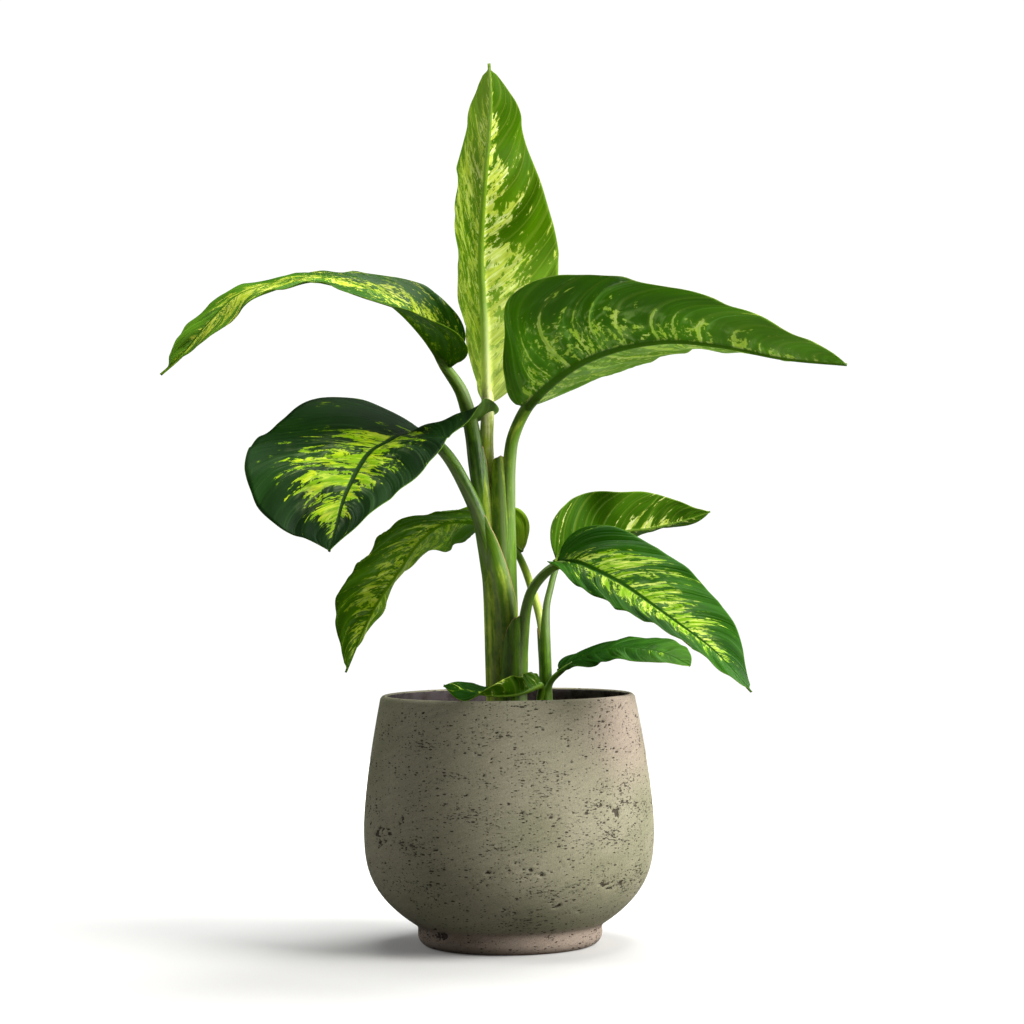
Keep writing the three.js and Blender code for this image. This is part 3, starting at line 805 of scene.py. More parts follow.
def stalk_rings(kind, stations, s, shift):
    """Rings of points along a tube or a sheath, their places on the skin, their tone, and the faces."""
    stations = np.array(stations, float)
    at, total = along_chords(stations[:, :3])
    t = np.linspace(0, 1, s.rows)
    values = monotone(at, stations, t)
    middle, radius, front, back, pale = values[:, :3], *values[:, 3:].T
    along = unit(np.gradient(middle, axis=0))
    side = unit(np.array([1.0, 0, 0]) - along * along[:, :1])
    over = np.cross(along, side)
    u = np.linspace(0, 1, s.sides)
    first, last = np.radians(front)[:, None], np.radians(back)[:, None]
    way = int(math.copysign(1, stations[0, 5] - stations[0, 4]))
    outer = first + (last - first) * u
    r = radius[:, None] * np.ones_like(outer)

    def at_angle(angle, r):
        flat = side[:, None] * (np.cos(angle) * r)[..., None] + over[:, None] * (np.sin(angle) * r)[..., None]
        return middle[:, None] + flat

    surface = at_angle(outer, r)
    if kind == "tube":
        inner = last + (first + way * 2 * math.pi - last) * u
        inside = at_angle(inner, r * (1 - CHANNEL * np.sin(math.pi * u)))
        edge = np.zeros_like(outer)
    else:
        from_margin = np.minimum(u, 1 - u) * np.abs(last - first) * r
        thickness = THIN_MARGIN + THICKENING * smoothstep(0.0, THICKENED_AT, from_margin)
        inner = outer[:, ::-1]
        inside = at_angle(inner, r - thickness[:, ::-1])
        edge = np.maximum(np.exp(-from_margin / DRY_SIDE), np.exp(-(1 - t)[:, None] * total / DRY_TOP))
        torn = 0.5 * radius[-1] * (1 - np.sqrt(np.sin(math.pi * u))) + 0.5 * np.sin(23 * u) + 0.35 * np.sin(41 * u + 1)
        slump = smoothstep(0.85, 1.0, t)[:, None] * torn
        inside = inside - along[:, None] * slump[:, ::-1, None]
        surface = surface - along[:, None] * slump[..., None]
    ring = np.concatenate([surface, inside[:, 1:-1]], axis=1)
    rows, columns = ring.shape[:2]
    faces = grid_faces(rows, columns, closed=True, flip=way < 0)
    if kind == "tube":
        faces += [face[::way] for face in end_faces(rows, columns)]
    else:
        for row, turn in ((0, -1), (rows - 1, 1)):
            for k in range(s.sides - 1):
                strip = (k, k + 1, columns - k - 1, (columns - k) % columns)
                quad = list(dict.fromkeys(row * columns + column for column in strip))
                if len(quad) > 2:
                    faces.append(quad[:: way * turn])
    at, total = along_chords(middle)
    angle = np.concatenate([outer, inner[:, 1:-1]], 1)
    edges = np.concatenate([edge, edge[:, -2:0:-1]], 1)
    place = np.stack([angle * radius[:, None] + shift, np.repeat((at * total)[:, None], columns, 1), edges], -1)
    tone = np.zeros_like(place)
    tone[..., 0] = pale[:, None]
    return ring.reshape(-1, 3), place.reshape(-1, 3), tone.reshape(-1, 3), faces


def stalk_mesh(name, parts, s, material):
    """A tapering stalk, with the thin sheath at its foot that wraps the younger stalks."""
    tube = [(*station[:4], *parts["facing"], station[4]) for station in parts["tube"]]
    layers, faces = [], []
    for kind, stations in (("tube", tube), ("sheath", parts.get("sheath"))):
        if stations:
            first = sum(len(layer[0]) for layer in layers)
            *layer, quads = stalk_rings(kind, stations, s, 37.0 * len(name) + 11.0 * len(layers))
            layers.append(layer)
            faces += [[first + v for v in face] for face in quads]
    points, places, tones = (np.concatenate(arrays) for arrays in zip(*layers))
    made = mesh_object(name, points * MM, faces, [material])
    set_vectors(made.data, "stalk_place", places)
    set_vectors(made.data, "stalk_tone", tones)
    return made


class DUMBCANE_OT_stalks(bpy.types.Operator):
    """Draws every leaf stalk with its sheath, and the cane inside them"""

    bl_idname = "dumbcane.stalks"
    bl_label = "Stalks"

    def execute(self, context):
        s = context.scene.stalk_settings
        material = stalk_material(s)
        for node, parts in STALKS.items():
            place_in_frame(stalk_mesh("green_" + node, parts, s, material), node)
        return {"FINISHED"}


# ---------- blades ----------
# Lists run from base to tip, and lengths are in millimetres.
# rib: points along the midrib. rib_size: half-width of the rib at its base. face: which way the upper side looks.
# width: largest half-width. wide: corrections to it. widest, blunt, round, full, sharp, tail: see outline().
# lobe: how far the base runs back. sweep: how far the margin runs forward. ear: bulge of the base and where it
# ends. fold: where a raised flap starts and ends, and its degrees. lift: degrees above the level of the rib.
# curl: more degrees towards the margin. ruffle: height, waves and phase of the waves of the margin.
# veins: side veins of a half. lean, hook: how they bend forward. swell, bands: swellings between them, and how
# many to a vein. pucker: uneven waves. spread: share of the half that is variegated. broken: how much green
# breaks up the variegation. veined: how much it keeps to the side veins. pale: how much paler the green is; partly
# the leaf's own tone and partly painted light, raised where a part catches a highlight and where light shines
# through it. blotch: how small the mottling is outwards.
PLAIN_BLADE = {
    "face": [(0, 0, 1), (0, 0, 1)], "widest": 0.36, "blunt": 3, "round": 3, "full": 1.8, "sharp": 1, "tail": 1.1,
    "wide": [1, 1], "lobe": 0, "sweep": 0.25, "curl": 0, "ear": (0, 1), "lean": 0.1, "hook": 0.08, "pale": 0,
    "swell": [1, 1], "bands": 1, "pucker": 1, "blotch": 1,
}
BLADES = {
    "top_leaf_blade": {
        "palette": "lime",
        "rib": [(-12, -8, 381), (-13, -22, 435), (-15, -34, 482), (-12, -48, 528), (-9, -58, 558), (-7, -70, 588),
                (-8, -78, 609)],
        "face": [(0, 1, 0), (0, 1, 0)], "widest": 0.38, "blunt": 1.5, "round": 1.6, "full": 1.5, "sharp": 0.9,
        "sweep": 0.2, "tail": 0.985, "lean": 0.16, "swell": [1, 0.4, 0.2], "rib_size": 4.4, "veins": 21,
        "broken": 0.6, "veined": 0, "pale": [1, 0.7, 0.15, 0, 0, 0],
        "right": {
            "width": 54, "lift": [81, 74, 71, 74, 68, 63, 58, 51, 49], "curl": -6,
            "wide": [1.01, 1.01, 0.96, 0.95, 0.96, 0.97, 0.98, 1.01, 1.02], "lobe": 0.79, "broken": 1,
            # pale at the base is the young leaf's own colour; its rise towards the tip is a painted highlight.
            "pale": [0.9, 0.5, 0.1, 0.05, 0.15, 0.35, 0.35], "spread": [0.9, 1, 1, 0.95, 0.75, 0.45, -0.1],
            "ruffle": (0.6, 5, 0.3),
        },
        "left": {
            "width": 54, "lift": [0, -1, -1, 3, 1, 7, 35, 27, 55], "curl": 10,
            "wide": [1.03, 1.05, 1.06, 1.02, 0.99, 0.95, 0.99, 1.07, 1.02], "broken": 0.35,
            "pale": [1, 0.6, 0.1, 0, -0.05, -0.12, -0.15], "spread": [0.55, 0.5, 0.42, 0.36, 0.26, 0.08, -0.3],
            "ruffle": (1, 3, 1.25),
        },
    },
    "upper_left_leaf_blade": {
        "palette": "fresh",
        "rib": [(-41, -14, 407), (-55, -22, 428), (-81, -32, 453), (-113, -42, 466), (-136, -48, 468),
                (-159, -54, 463), (-182, -58, 455), (-204, -64, 433), (-219, -68, 414), (-234, -72, 400)],
        "face": [(0, 0, 1), (-0.3, 0, 1), (-0.7, 0, 0.7)], "widest": 0.33, "full": 1.7, "tail": 0.968, "blotch": 2,
        "veins": 22, "hook": 0.12, "rib_size": 3.2, "broken": 0.8, "veined": 0.1,
        "right": {
            "width": 47, "lift": [89, 58, 31, 15, 11, 13, 24, 51, 74],
            "wide": [1.01, 1.02, 1.02, 0.98, 0.97, 0.97, 0.99, 0.99, 0.99], "broken": [1, 1, 0.9, 0.4, 0.2, 0.1],
            # pale rises towards the tip: painted light, for the glow of light through the tip.
            "pale": [-0.25, -0.22, -0.18, -0.1, 0, 0.04, 0.08, 0.1, 0.1],
            "spread": [0.1, 0.4, 0.5, 0.35, 0.2, 0.15, 0.15, 0.05, -0.1], "ruffle": (0.75, 4, 0.5),
        },
        "left": {
            "width": 45, "lift": [20, -2, -21, -21, -14, -18, -31, -21, 16],
            "wide": [1, 1, 1, 0.99, 0.98, 0.98, 0.96, 0.98, 0.99], "lobe": 0.1, "broken": [1, 1, 0.9, 0.4, 0.2, 0.1],
            # pale rises towards the tip: painted light, for the glow of light through the tip.
            "pale": [-0.25, -0.22, -0.18, -0.1, 0, 0.04, 0.08, 0.1, 0.1],
            "spread": [-0.1, 0.05, 0.1, 0.25, 0.5, 0.7, 0.9, 0.6, 0.1], "ruffle": (0.65, 5, 2),
        },
    },
    "right_leaf_blade": {
        "palette": "green",
        "rib": [(15, -20, 377), (32, -55, 392), (54, -88, 405), (73, -108, 411), (91, -122, 414), (109, -132, 415),
                (140, -145, 411), (183, -158, 401), (222, -168, 396)],
        "face": [(-0.2, 0.2, 1), (0, 0, 1), (0, 0, 1)], "widest": 0.33, "blunt": 2.8, "round": 2.6, "full": 1.6,
        "veins": 15, "lean": -0.06, "hook": 0.22, "bands": 2.6, "swell": [5, 3, 1, 0.4, 0.3], "pucker": 1.6,
        "rib_size": 4.2, "broken": 0.5, "veined": 1,
        "right": {
            "width": 59, "lift": [38, 51, 47, 62, 52, 51, 52, 53, 78],
            "wide": [0.39, 0.75, 1.13, 0.96, 0.93, 0.9, 0.96, 1.1, 1.35], "lobe": 0.24,
            # pale rises near the far end: painted highlight.
            "pale": [0.02, 0, 0, -0.05, -0.05, 0.02, 0.08, 0.08, 0],
            "spread": [0.1, 0.4, 0.5, 0.48, 0.42, 0.3, 0.18, 0.05, -0.2], "ruffle": (0.5, 4, 0.8),
        },
        "left": {
            "width": 54, "lift": [14, 6, -2, -3, -4, -4, -2, 1, 14],
            "wide": [0.89, 0.91, 0.91, 0.92, 0.94, 0.97, 1, 1.03, 1.05], "lobe": 0.16,
            "pale": [0.1, 0.25, 0.3, 0.3, 0.3, 0.3, 0.3], "spread": [0.5, 0.7, 0.8, 0.8, 0.7, 0.6, 0.4],
            "ruffle": (0.6, 7, 0.2),
        },
    },
    "dark_left_leaf_blade": {
        "palette": "dark",
        "rib": [(-52, -22, 356), (-71, -52, 357), (-81, -82, 351), (-90, -108, 344), (-96, -130, 334),
                (-101, -152, 322), (-105, -172, 310), (-108, -190, 295), (-112, -205, 279)],
        "face": [(0, -0.2, 1), (-0.1, -0.5, 0.85), (-0.2, -0.6, 0.75)], "widest": 0.42, "round": 2.6, "full": 2,
        "sweep": 0.35, "veins": 15, "lean": 0.12, "hook": 0.12, "pucker": 1.3, "rib_size": 4, "broken": 0.15,
        "veined": 0.2,
        "right": {
            "width": 76, "lift": [20, 19, 13, 9, 14, 14, 2, -3, 6],
            "wide": [1.07, 1.07, 0.97, 0.96, 0.97, 1.02, 1, 0.95, 0.85], "lobe": 0.66,
            "spread": [-0.3, -0.05, 0.25, 0.42, 0.46, 0.32, -0.1], "ruffle": (1, 3, 0.4),
        },
        "left": {
            "width": 58, "full": 1.35, "lift": [48, 31, 11, 13, 12, 8, 5, 10, 14],
            "wide": [1.02, 0.76, 0.84, 1.01, 1.03, 1.06, 1.07, 1.07, 1.02], "lobe": 2.06, "fold": (0.71, 0.34, 15),
            "ear": (0.46, 0.3), "spread": [-0.1, 0.12, 0.3, 0.32, 0.3, 0.15, -0.2], "ruffle": (0.5, 3, 0),
        },
    },
    "lower_left_leaf_blade": {
        "palette": "fresh",
        "rib": [(10, 42, 275), (-8, 45, 292), (-26, 48, 299), (-45, 52, 298), (-63, 58, 285), (-79, 64, 263),
                (-91, 68, 246), (-104, 73, 223), (-119, 80, 189)],
        "face": [(0, 0, 1), (-0.5, 0, 0.8), (-0.8, 0.2, 0.5)], "widest": 0.42, "blunt": 2.6, "round": 2.2,
        "full": 1.9, "tail": 0.985, "veins": 18, "lean": 0.12, "hook": 0.1, "pucker": 2, "swell": [2, 2, 2],
        "rib_size": 3.4, "broken": 0.7, "veined": 0.4,
        "right": {
            "width": 38, "lift": [47, 17, -28, -24, -3, 2, -2, 6, 31],
            "wide": [0.99, 1.01, 1.04, 1.05, 1.05, 1.02, 0.98, 0.97, 0.99], "broken": 0.8,
            "pale": [-0.1, -0.05, 0.05, 0.15, 0.18, 0.12, 0.08, 0.05],
            "spread": [-0.4, -0.25, 0.3, 1, 1, 0.9, 0.8, 0.5], "ruffle": (0.9, 6, 0.4),
        },
        "left": {
            "width": 43, "lift": [140, 42, 10, 29, 33, 40, 55, 35, 13],
            "wide": [0.74, 0.91, 0.87, 0.88, 0.93, 0.98, 1, 0.97, 0.97],
            # pale at the base: painted light on the basal lobe, which lies in shade behind the stalks.
            "pale": [0.6, 0.2, -0.12, -0.12, -0.12, -0.1, -0.08, -0.05],
            "spread": [-0.3, 0.1, 0.32, 0.45, 0.45, 0.42, 0.3, 0], "ruffle": (0.6, 4, 1.4),
        },
    },
    "front_right_leaf_blade": {
        "palette": "mid",
        "rib": [(35, -36, 268), (49, -48, 268), (61, -57, 263), (78, -70, 254), (95, -83, 242), (111, -96, 230),
                (139, -116, 208), (161, -132, 183)],
        "face": [(0, -0.3, 1), (0.3, -0.5, 0.8)], "round": 2.8, "full": 1.9, "sharp": 0.9, "tail": 0.985, "veins": 18,
        "lean": 0.14, "hook": 0.1, "rib_size": 3.8, "broken": 0.35, "veined": 0.2,
        "right": {
            "width": 40, "lift": [22, 6, 4, 10, 15, 20, 18, 17, 19],
            "wide": [0.71, 0.76, 0.87, 0.97, 1.03, 1.04, 1.01, 1.01, 1],
            "spread": [-0.2, 0.25, 0.38, 0.38, 0.36, 0.3, 0.05, -0.4], "ruffle": (0.4, 5, 0.4),
        },
        "left": {
            "width": 42, "lift": [42, 33, 24, 24, 18, 17, 9, -12, -20],
            "wide": [1.03, 1.02, 0.99, 0.98, 0.97, 0.98, 0.99, 0.97, 0.98], "lobe": 0.21,
            "spread": [-0.1, 0.4, 0.56, 0.52, 0.42, 0.3, 0, -0.4], "ruffle": (0.3, 4, 1.4),
        },
    },
    "rear_right_leaf_blade": {
        "palette": "mid",
        "rib": [(36, 22, 269), (50, 30, 278), (68, 40, 285), (88, 50, 291), (102, 58, 292), (122, 66, 296),
                (150, 76, 304)],
        "widest": 0.34, "full": 1.7, "sweep": 0.2, "hook": 0.1, "pucker": 0.5, "rib_size": 2.4, "veins": 16,
        "broken": 0.15, "veined": 0, "pale": -0.1,
        "right": {
            "width": 35, "lift": [73, 81, 87, 63, 57, 61, 58, 44, 37],
            "wide": [1.04, 1.04, 1.01, 0.97, 0.98, 1, 1.01, 1, 1], "lobe": 0.06, "broken": 0.1,
            "spread": [-0.9, -0.8, -0.35, 0.05, 0.12, -0.2, -0.8], "ruffle": (0.3, 3, 0.6),
        },
        "left": {
            "width": 35, "lift": [-15, -22, -28, -31, -23, -13, -13, -31, -70],
            "wide": [1.05, 0.91, 0.74, 0.55, 0.6, 0.79, 0.93, 1.01, 1.06], "lobe": 0.15,
            "spread": [0, 0.2, 0.3, 0.2, -0.1], "ruffle": (0.5, 4, 0.1),
        },
    },
    "low_right_leaf_blade": {
        "palette": "mid",
        "rib": [(37, 4, 192), (52, -2, 201), (69, -9, 207), (90, -18, 208), (108, -27, 205), (127, -35, 196)],
        "blunt": 2.4, "round": 2, "full": 3, "sharp": 0.8, "sweep": 0.2, "rib_size": 2, "veins": 13, "broken": 0.05,
        "veined": 0.45, "pale": [-0.3, -0.2, -0.05, 0.04, 0.06],
        "right": {
            "width": 24, "lift": [-10, -19, -22, -21, -19, -18, -17, -11, -7], "lobe": 0.08,
            "spread": [-0.6, -0.5, -0.3, -0.15, -0.15, -0.4], "ruffle": (0.4, 4, 0.3),
        },
        "left": {
            "width": 24, "lift": [46, 19, 15, 14, 16, 17, 22, 30, 40],
            "wide": [1.02, 1.05, 1.04, 1.02, 1.01, 1.02, 1.05, 1.11, 1.19], "lobe": 0.35,
            "spread": [-0.6, -0.5, -0.5, -0.5, -0.6], "ruffle": (0.4, 3, 0.9),
        },
    },
    "rim_leaf_blade": {
        "palette": "mid",
        "rib": [(24, -7, 182), (20, -30, 182), (12, -52, 180), (2, -72, 179), (-12, -85, 180), (-28, -89, 183),
                (-43, -91, 187)],
        "widest": 0.4, "blunt": 2.4, "round": 2, "full": 1.9, "sweep": 0.2, "rib_size": 2, "veins": 13, "broken": 0.7,
        "veined": 0.1, "pale": -0.4,
        "right": {
            "width": 26, "lift": [9, 9, 9, 9, 11, 18, 22, 34, 62], "wide": [1, 1, 1, 1, 0.99, 1, 1.01, 1.07, 1.13],
            "spread": [-0.2, 0, 0.05, -0.1], "ruffle": (0.4, 3, 0.2),
        },
        "left": {
            "width": 26, "lift": [110, 112, 108, 88, 66, 54, 25, -46, -80],
            "wide": [0.6, 0.52, 0.48, 0.5, 0.58, 0.73, 0.95, 0.97, 1], "lobe": 0.5,
            "spread": [-0.4, -0.35, -0.35, -0.4], "ruffle": (0.4, 3, 0.8),
        },
    },
}

# Colours of the two sides of a blade: deep and plain green, variegation, palest variegation, rib. rough and
# glow: least roughness, and share of the light that passes through, of the upper side and the underside.
# shine: mirror reflection. sheen: strength of the painted sheen, pale lines that stand in for highlights between
# the side veins. mottling: how closely streaks, fingers and specks follow each other, along the blade and outwards.
PALETTES = {
    "green": {
        "upper": [(36, 86, 6), (68, 126, 12), (190, 216, 62), (238, 242, 146), (44, 92, 2)],
        "under": [(66, 116, 8), (108, 164, 28), (226, 238, 120), (252, 253, 200), (76, 116, 10)],
        "rough": (0.3, 0.34), "glow": (0.34, 0.5), "shine": 0.34, "sheen": 0.95,
        "mottling": ((1.1, 0.24), (2.8, 0.85), (5.6, 3.2)),
    },
    "mid": {
        "upper": [(20, 62, 0), (44, 96, 4), (112, 158, 0), (198, 212, 92), (30, 74, 0)],
        "under": [(60, 104, 4), (94, 146, 20), (212, 230, 92), (252, 252, 184), (112, 148, 44)],
        "rough": (0.42, 0.44), "glow": (0.2, 0.46), "shine": 0.05, "sheen": 0.26,
        "mottling": ((1.1, 0.26), (2.6, 0.8), (5.2, 3.0)),
    },
    "dark": {
        "upper": [(6, 32, 3), (20, 52, 8), (108, 150, 0), (176, 192, 28), (20, 50, 4)],
        "under": [(84, 122, 44), (112, 152, 60), (120, 152, 42), (170, 186, 84), (88, 118, 46)],
        "rough": (0.5, 0.46), "glow": (0.08, 0.25), "shine": 0.04, "sheen": 0.08,
        "mottling": ((1.0, 0.2), (2.6, 0.7), (5.0, 2.6)),
    },
    "lime": {
        "upper": [(82, 124, 0), (110, 154, 0), (206, 220, 84), (250, 250, 180), (164, 196, 62)],
        "under": [(76, 118, 0), (112, 158, 0), (224, 230, 96), (255, 255, 200), (136, 172, 40)],
        "rough": (0.46, 0.46), "glow": (0.42, 0.52), "shine": 0.08, "sheen": 0.06,
        "mottling": ((0.8, 0.6), (2.2, 1.6), (5.4, 4.2)),
    },
    "fresh": {
        "upper": [(42, 92, 4), (84, 148, 10), (184, 206, 44), (232, 236, 110), (74, 124, 4)],
        "under": [(60, 104, 0), (84, 130, 0), (156, 186, 34), (210, 218, 90), (96, 134, 10)],
        "rough": (0.36, 0.4), "glow": (0.34, 0.36), "shine": 0.1, "sheen": 0.1,
        "mottling": ((1.1, 0.3), (2.8, 0.95), (5.6, 3.2)),
    },
}

NARROWEST = 0.9  # least half-width in millimetres
CREASE = 0.06  # softness of a fold, as a share of the half-width
LOBE_LENGTH = 0.3  # share of the rib along which the lobes run back
PUCKER_WAVES = 7
FIRST_SEED = 40
VEINS_APART = 40.0  # so that no two blades have the same mottling


def outline(pick, t):
    """Half-width as a share of the widest, from the blunt base to the drawn-out tip."""
    base = (1 - (1 - np.minimum(t / pick["widest"], 1)) ** pick["blunt"]) ** (1 / pick["round"])
    beyond = np.clip((t - pick["widest"]) / (1 - pick["widest"]), 0, 1)
    whole = np.where(t < pick["widest"], base, (1 - beyond ** pick["full"]) ** pick["sharp"])
    return whole * (1 - 0.8 * smoothstep(pick["tail"] - 0.03, pick["tail"] + 0.01, t))


def half_blade(pick, sign, t, out, at, along, across, up):
    """Places of one half for every t and every share out of the half-width, and its reach in millimetres."""
    shape = outline(pick, t)
    more, until = pick["ear"]
    ear = more * np.sin(math.pi * np.clip(t / until, 0, 1)) ** 2
    reach = np.maximum(pick["width"] * shape * (1 + ear) * flowing(pick["wide"], t), NARROWEST)
    middle = (out[1:] + out[:-1]) / 2
    angle = flowing(pick["lift"], t)[:, None] + pick["curl"] * middle
    if "fold" in pick:
        start, until, by = pick["fold"]
        crease = (start + (1.1 - start) * np.clip(t / until, 0, 1) ** 1.3)[:, None]
        raised = smoothstep(crease - CREASE, crease + CREASE, middle)
        angle += by * raised * smoothstep(1.15 * until, 0.85 * until, t)[:, None]
    angle = np.radians(angle)
    step = np.diff(out) * reach[:, None]
    sideways = np.cumsum(np.cos(angle) * step, 1) * sign
    upwards = np.cumsum(np.sin(angle) * step, 1)
    share_out = out[1:]
    forward = pick["sweep"] * reach[:, None] * share_out**2 * np.minimum(1, 3 * t)[:, None]
    back = pick["lobe"] * pick["width"] * share_out**1.5 * (np.maximum(0, 1 - t / LOBE_LENGTH) ** 2 * shape)[:, None]
    height, waves, phase = pick["ruffle"]
    ruffle = height * share_out**2.2 * np.sin(2 * math.pi * (waves * t[:, None] + phase + 0.15 * share_out))
    ruffle *= (smoothstep(0.02, 0.2, t) * smoothstep(1.0, 0.85, t))[:, None]
    tilt = np.stack([-np.sin(angle) * sign, np.cos(angle)], -1)
    return (
        at[:, None]
        + across[:, None] * (sideways + tilt[..., 0] * ruffle)[..., None]
        + up[:, None] * (upwards + tilt[..., 1] * ruffle)[..., None]
        + along[:, None] * (forward - back)[..., None]
    ), reach


def by_half(halves, label, t, signed):
    """One of the looks of a leaf over the whole blade, from its left and right halves."""
    sides = []
    for pick in halves:
        values = np.atleast_1d(pick[label])
        sides.append(np.interp(t, np.linspace(0, 1, len(values)), values)[:, None])
    return np.where(signed < 0, *sides)


def sheet_faces(rows, columns):
    """Faces and material slots of two sheets of points, the upper one first, closed all round."""
    size = rows * columns
    faces = grid_faces(rows, columns) + grid_faces(rows, columns, size, flip=True)
    slots = [0] * (len(faces) // 2)
    for i in range(rows - 1):
        a, b = i * columns, (i + 1) * columns
        faces.append((a, b, b + size, a + size))
        a, b = a + columns - 1, b + columns - 1
        faces.append((a, a + size, b + size, b))
    for j in range(columns - 1):
        faces.append((j, j + size, j + 1 + size, j + 1))
        a = (rows - 1) * columns + j
        faces.append((a, a + 1, a + 1 + size, a + size))
    return faces, slots + [UNDER] * (len(faces) - len(slots))


def blade_mesh(name, leaf, s, materials, number):
    """A closed thin blade with its rib below and its side veins pressed in."""
    leaf = {**PLAIN_BLADE, **leaf}
    halves = [{**leaf, **leaf["left"]}, {**leaf, **leaf["right"]}]
    place, run = smooth_curve(leaf["rib"])
    even = np.linspace(0, 1, s.rows)
    t = 0.55 * even + 0.45 * (0.5 - 0.5 * np.cos(math.pi * even))
    t[0], t[-1] = 0, 1
    along = headings(place, t)
    up = eased(leaf["face"], t)
    up = unit(up - along * np.sum(up * along, 1, keepdims=True))
    across = np.cross(along, up)
    at = place(t)
    out = np.linspace(0, 1, s.strips + 1) ** 1.25
    left, left_reach = half_blade(halves[0], -1, t, out, at, along, across, up)
    right, right_reach = half_blade(halves[1], 1, t, out, at, along, across, up)
    sheet = np.concatenate([left[:, ::-1], at[:, None], right], 1)
    signed = np.concatenate([-out[:0:-1], out])
    from_rib = np.abs(signed)
    reach = np.where(signed[None] < 0, left_reach[:, None], right_reach[:, None])
    normal = unit(np.cross(np.gradient(sheet, axis=1), np.gradient(sheet, axis=0)))

    path = leaf["lean"] * from_rib + leaf["hook"] * from_rib**3
    phase = leaf["veins"] * (t[:, None] - path * (1 - 0.5 * t[:, None])) + 0.13 * np.sign(signed)
    phase = phase + 0.2 * np.sin(1.9 * phase + number) + 0.08 * np.sin(3.7 * phase + 2 * number + np.sign(signed))
    inside = (smoothstep(0.0, 0.1, t) * smoothstep(1.0, 0.8, t))[:, None]
    swell = np.cos(2 * math.pi * phase * leaf["bands"]) * smoothstep(0.02, 0.2, from_rib)
    swell *= smoothstep(1.0, 0.8, from_rib) * inside * eased(leaf["swell"], t)[:, None]
    random = np.random.default_rng(FIRST_SEED + number)
    pucker = np.zeros_like(phase)
    for _ in range(PUCKER_WAVES):
        along_waves, out_waves, turn = random.uniform(0.12, 0.55), random.uniform(-1.1, 1.1), random.uniform(0, 1)
        pucker += np.sin(2 * math.pi * (along_waves * phase + out_waves * signed + turn))
    pucker *= smoothstep(0.03, 0.35, from_rib) * inside * leaf["pucker"]
    sheet = sheet + normal * ((pucker * s.pucker - swell * s.quilting) / MM)[..., None]

    rib_width = leaf["rib_size"] * (1.1 - 0.85 * t**0.8)
    beside = from_rib * reach
    rib = np.clip(beside / rib_width[:, None], 0, 1)
    ridge = (0.5 + 0.5 * np.cos(math.pi * rib)) * (rib_width * 0.8)[:, None]
    groove = np.exp(-((beside / (0.35 * rib_width[:, None] + 0.4)) ** 2)) * (0.1 * rib_width + 0.15)[:, None]
    half = s.thickness / MM / 2 * (1 - 0.55 * from_rib**3)
    top = sheet + normal * (half - groove)[..., None]
    under = sheet - normal * (half + ridge)[..., None]

    points = np.concatenate([top.reshape(-1, 3), under.reshape(-1, 3)]) * MM
    faces, slots = sheet_faces(*sheet.shape[:2])
    made = mesh_object(name, points, faces, materials, slots)

    zone = s.variegation + (by_half(halves, "spread", t, signed) - from_rib) * 1.15
    across_skin = signed * reach / 10 * leaf["blotch"]
    along_skin = np.repeat(t[:, None] * run / 10, len(signed), 1)
    attributes = {
        "lamina": (phase + VEINS_APART * number, across_skin, along_skin),
        "patch": (zone, 1 - rib, (1 - from_rib) * reach),
        "mottle": [by_half(halves, label, t, signed) for label in ("broken", "veined", "pale")],
    }
    for label, values in attributes.items():
        flat = np.stack(values, -1).reshape(-1, 3)
        set_vectors(made.data, label, np.concatenate([flat, flat]))
    return made


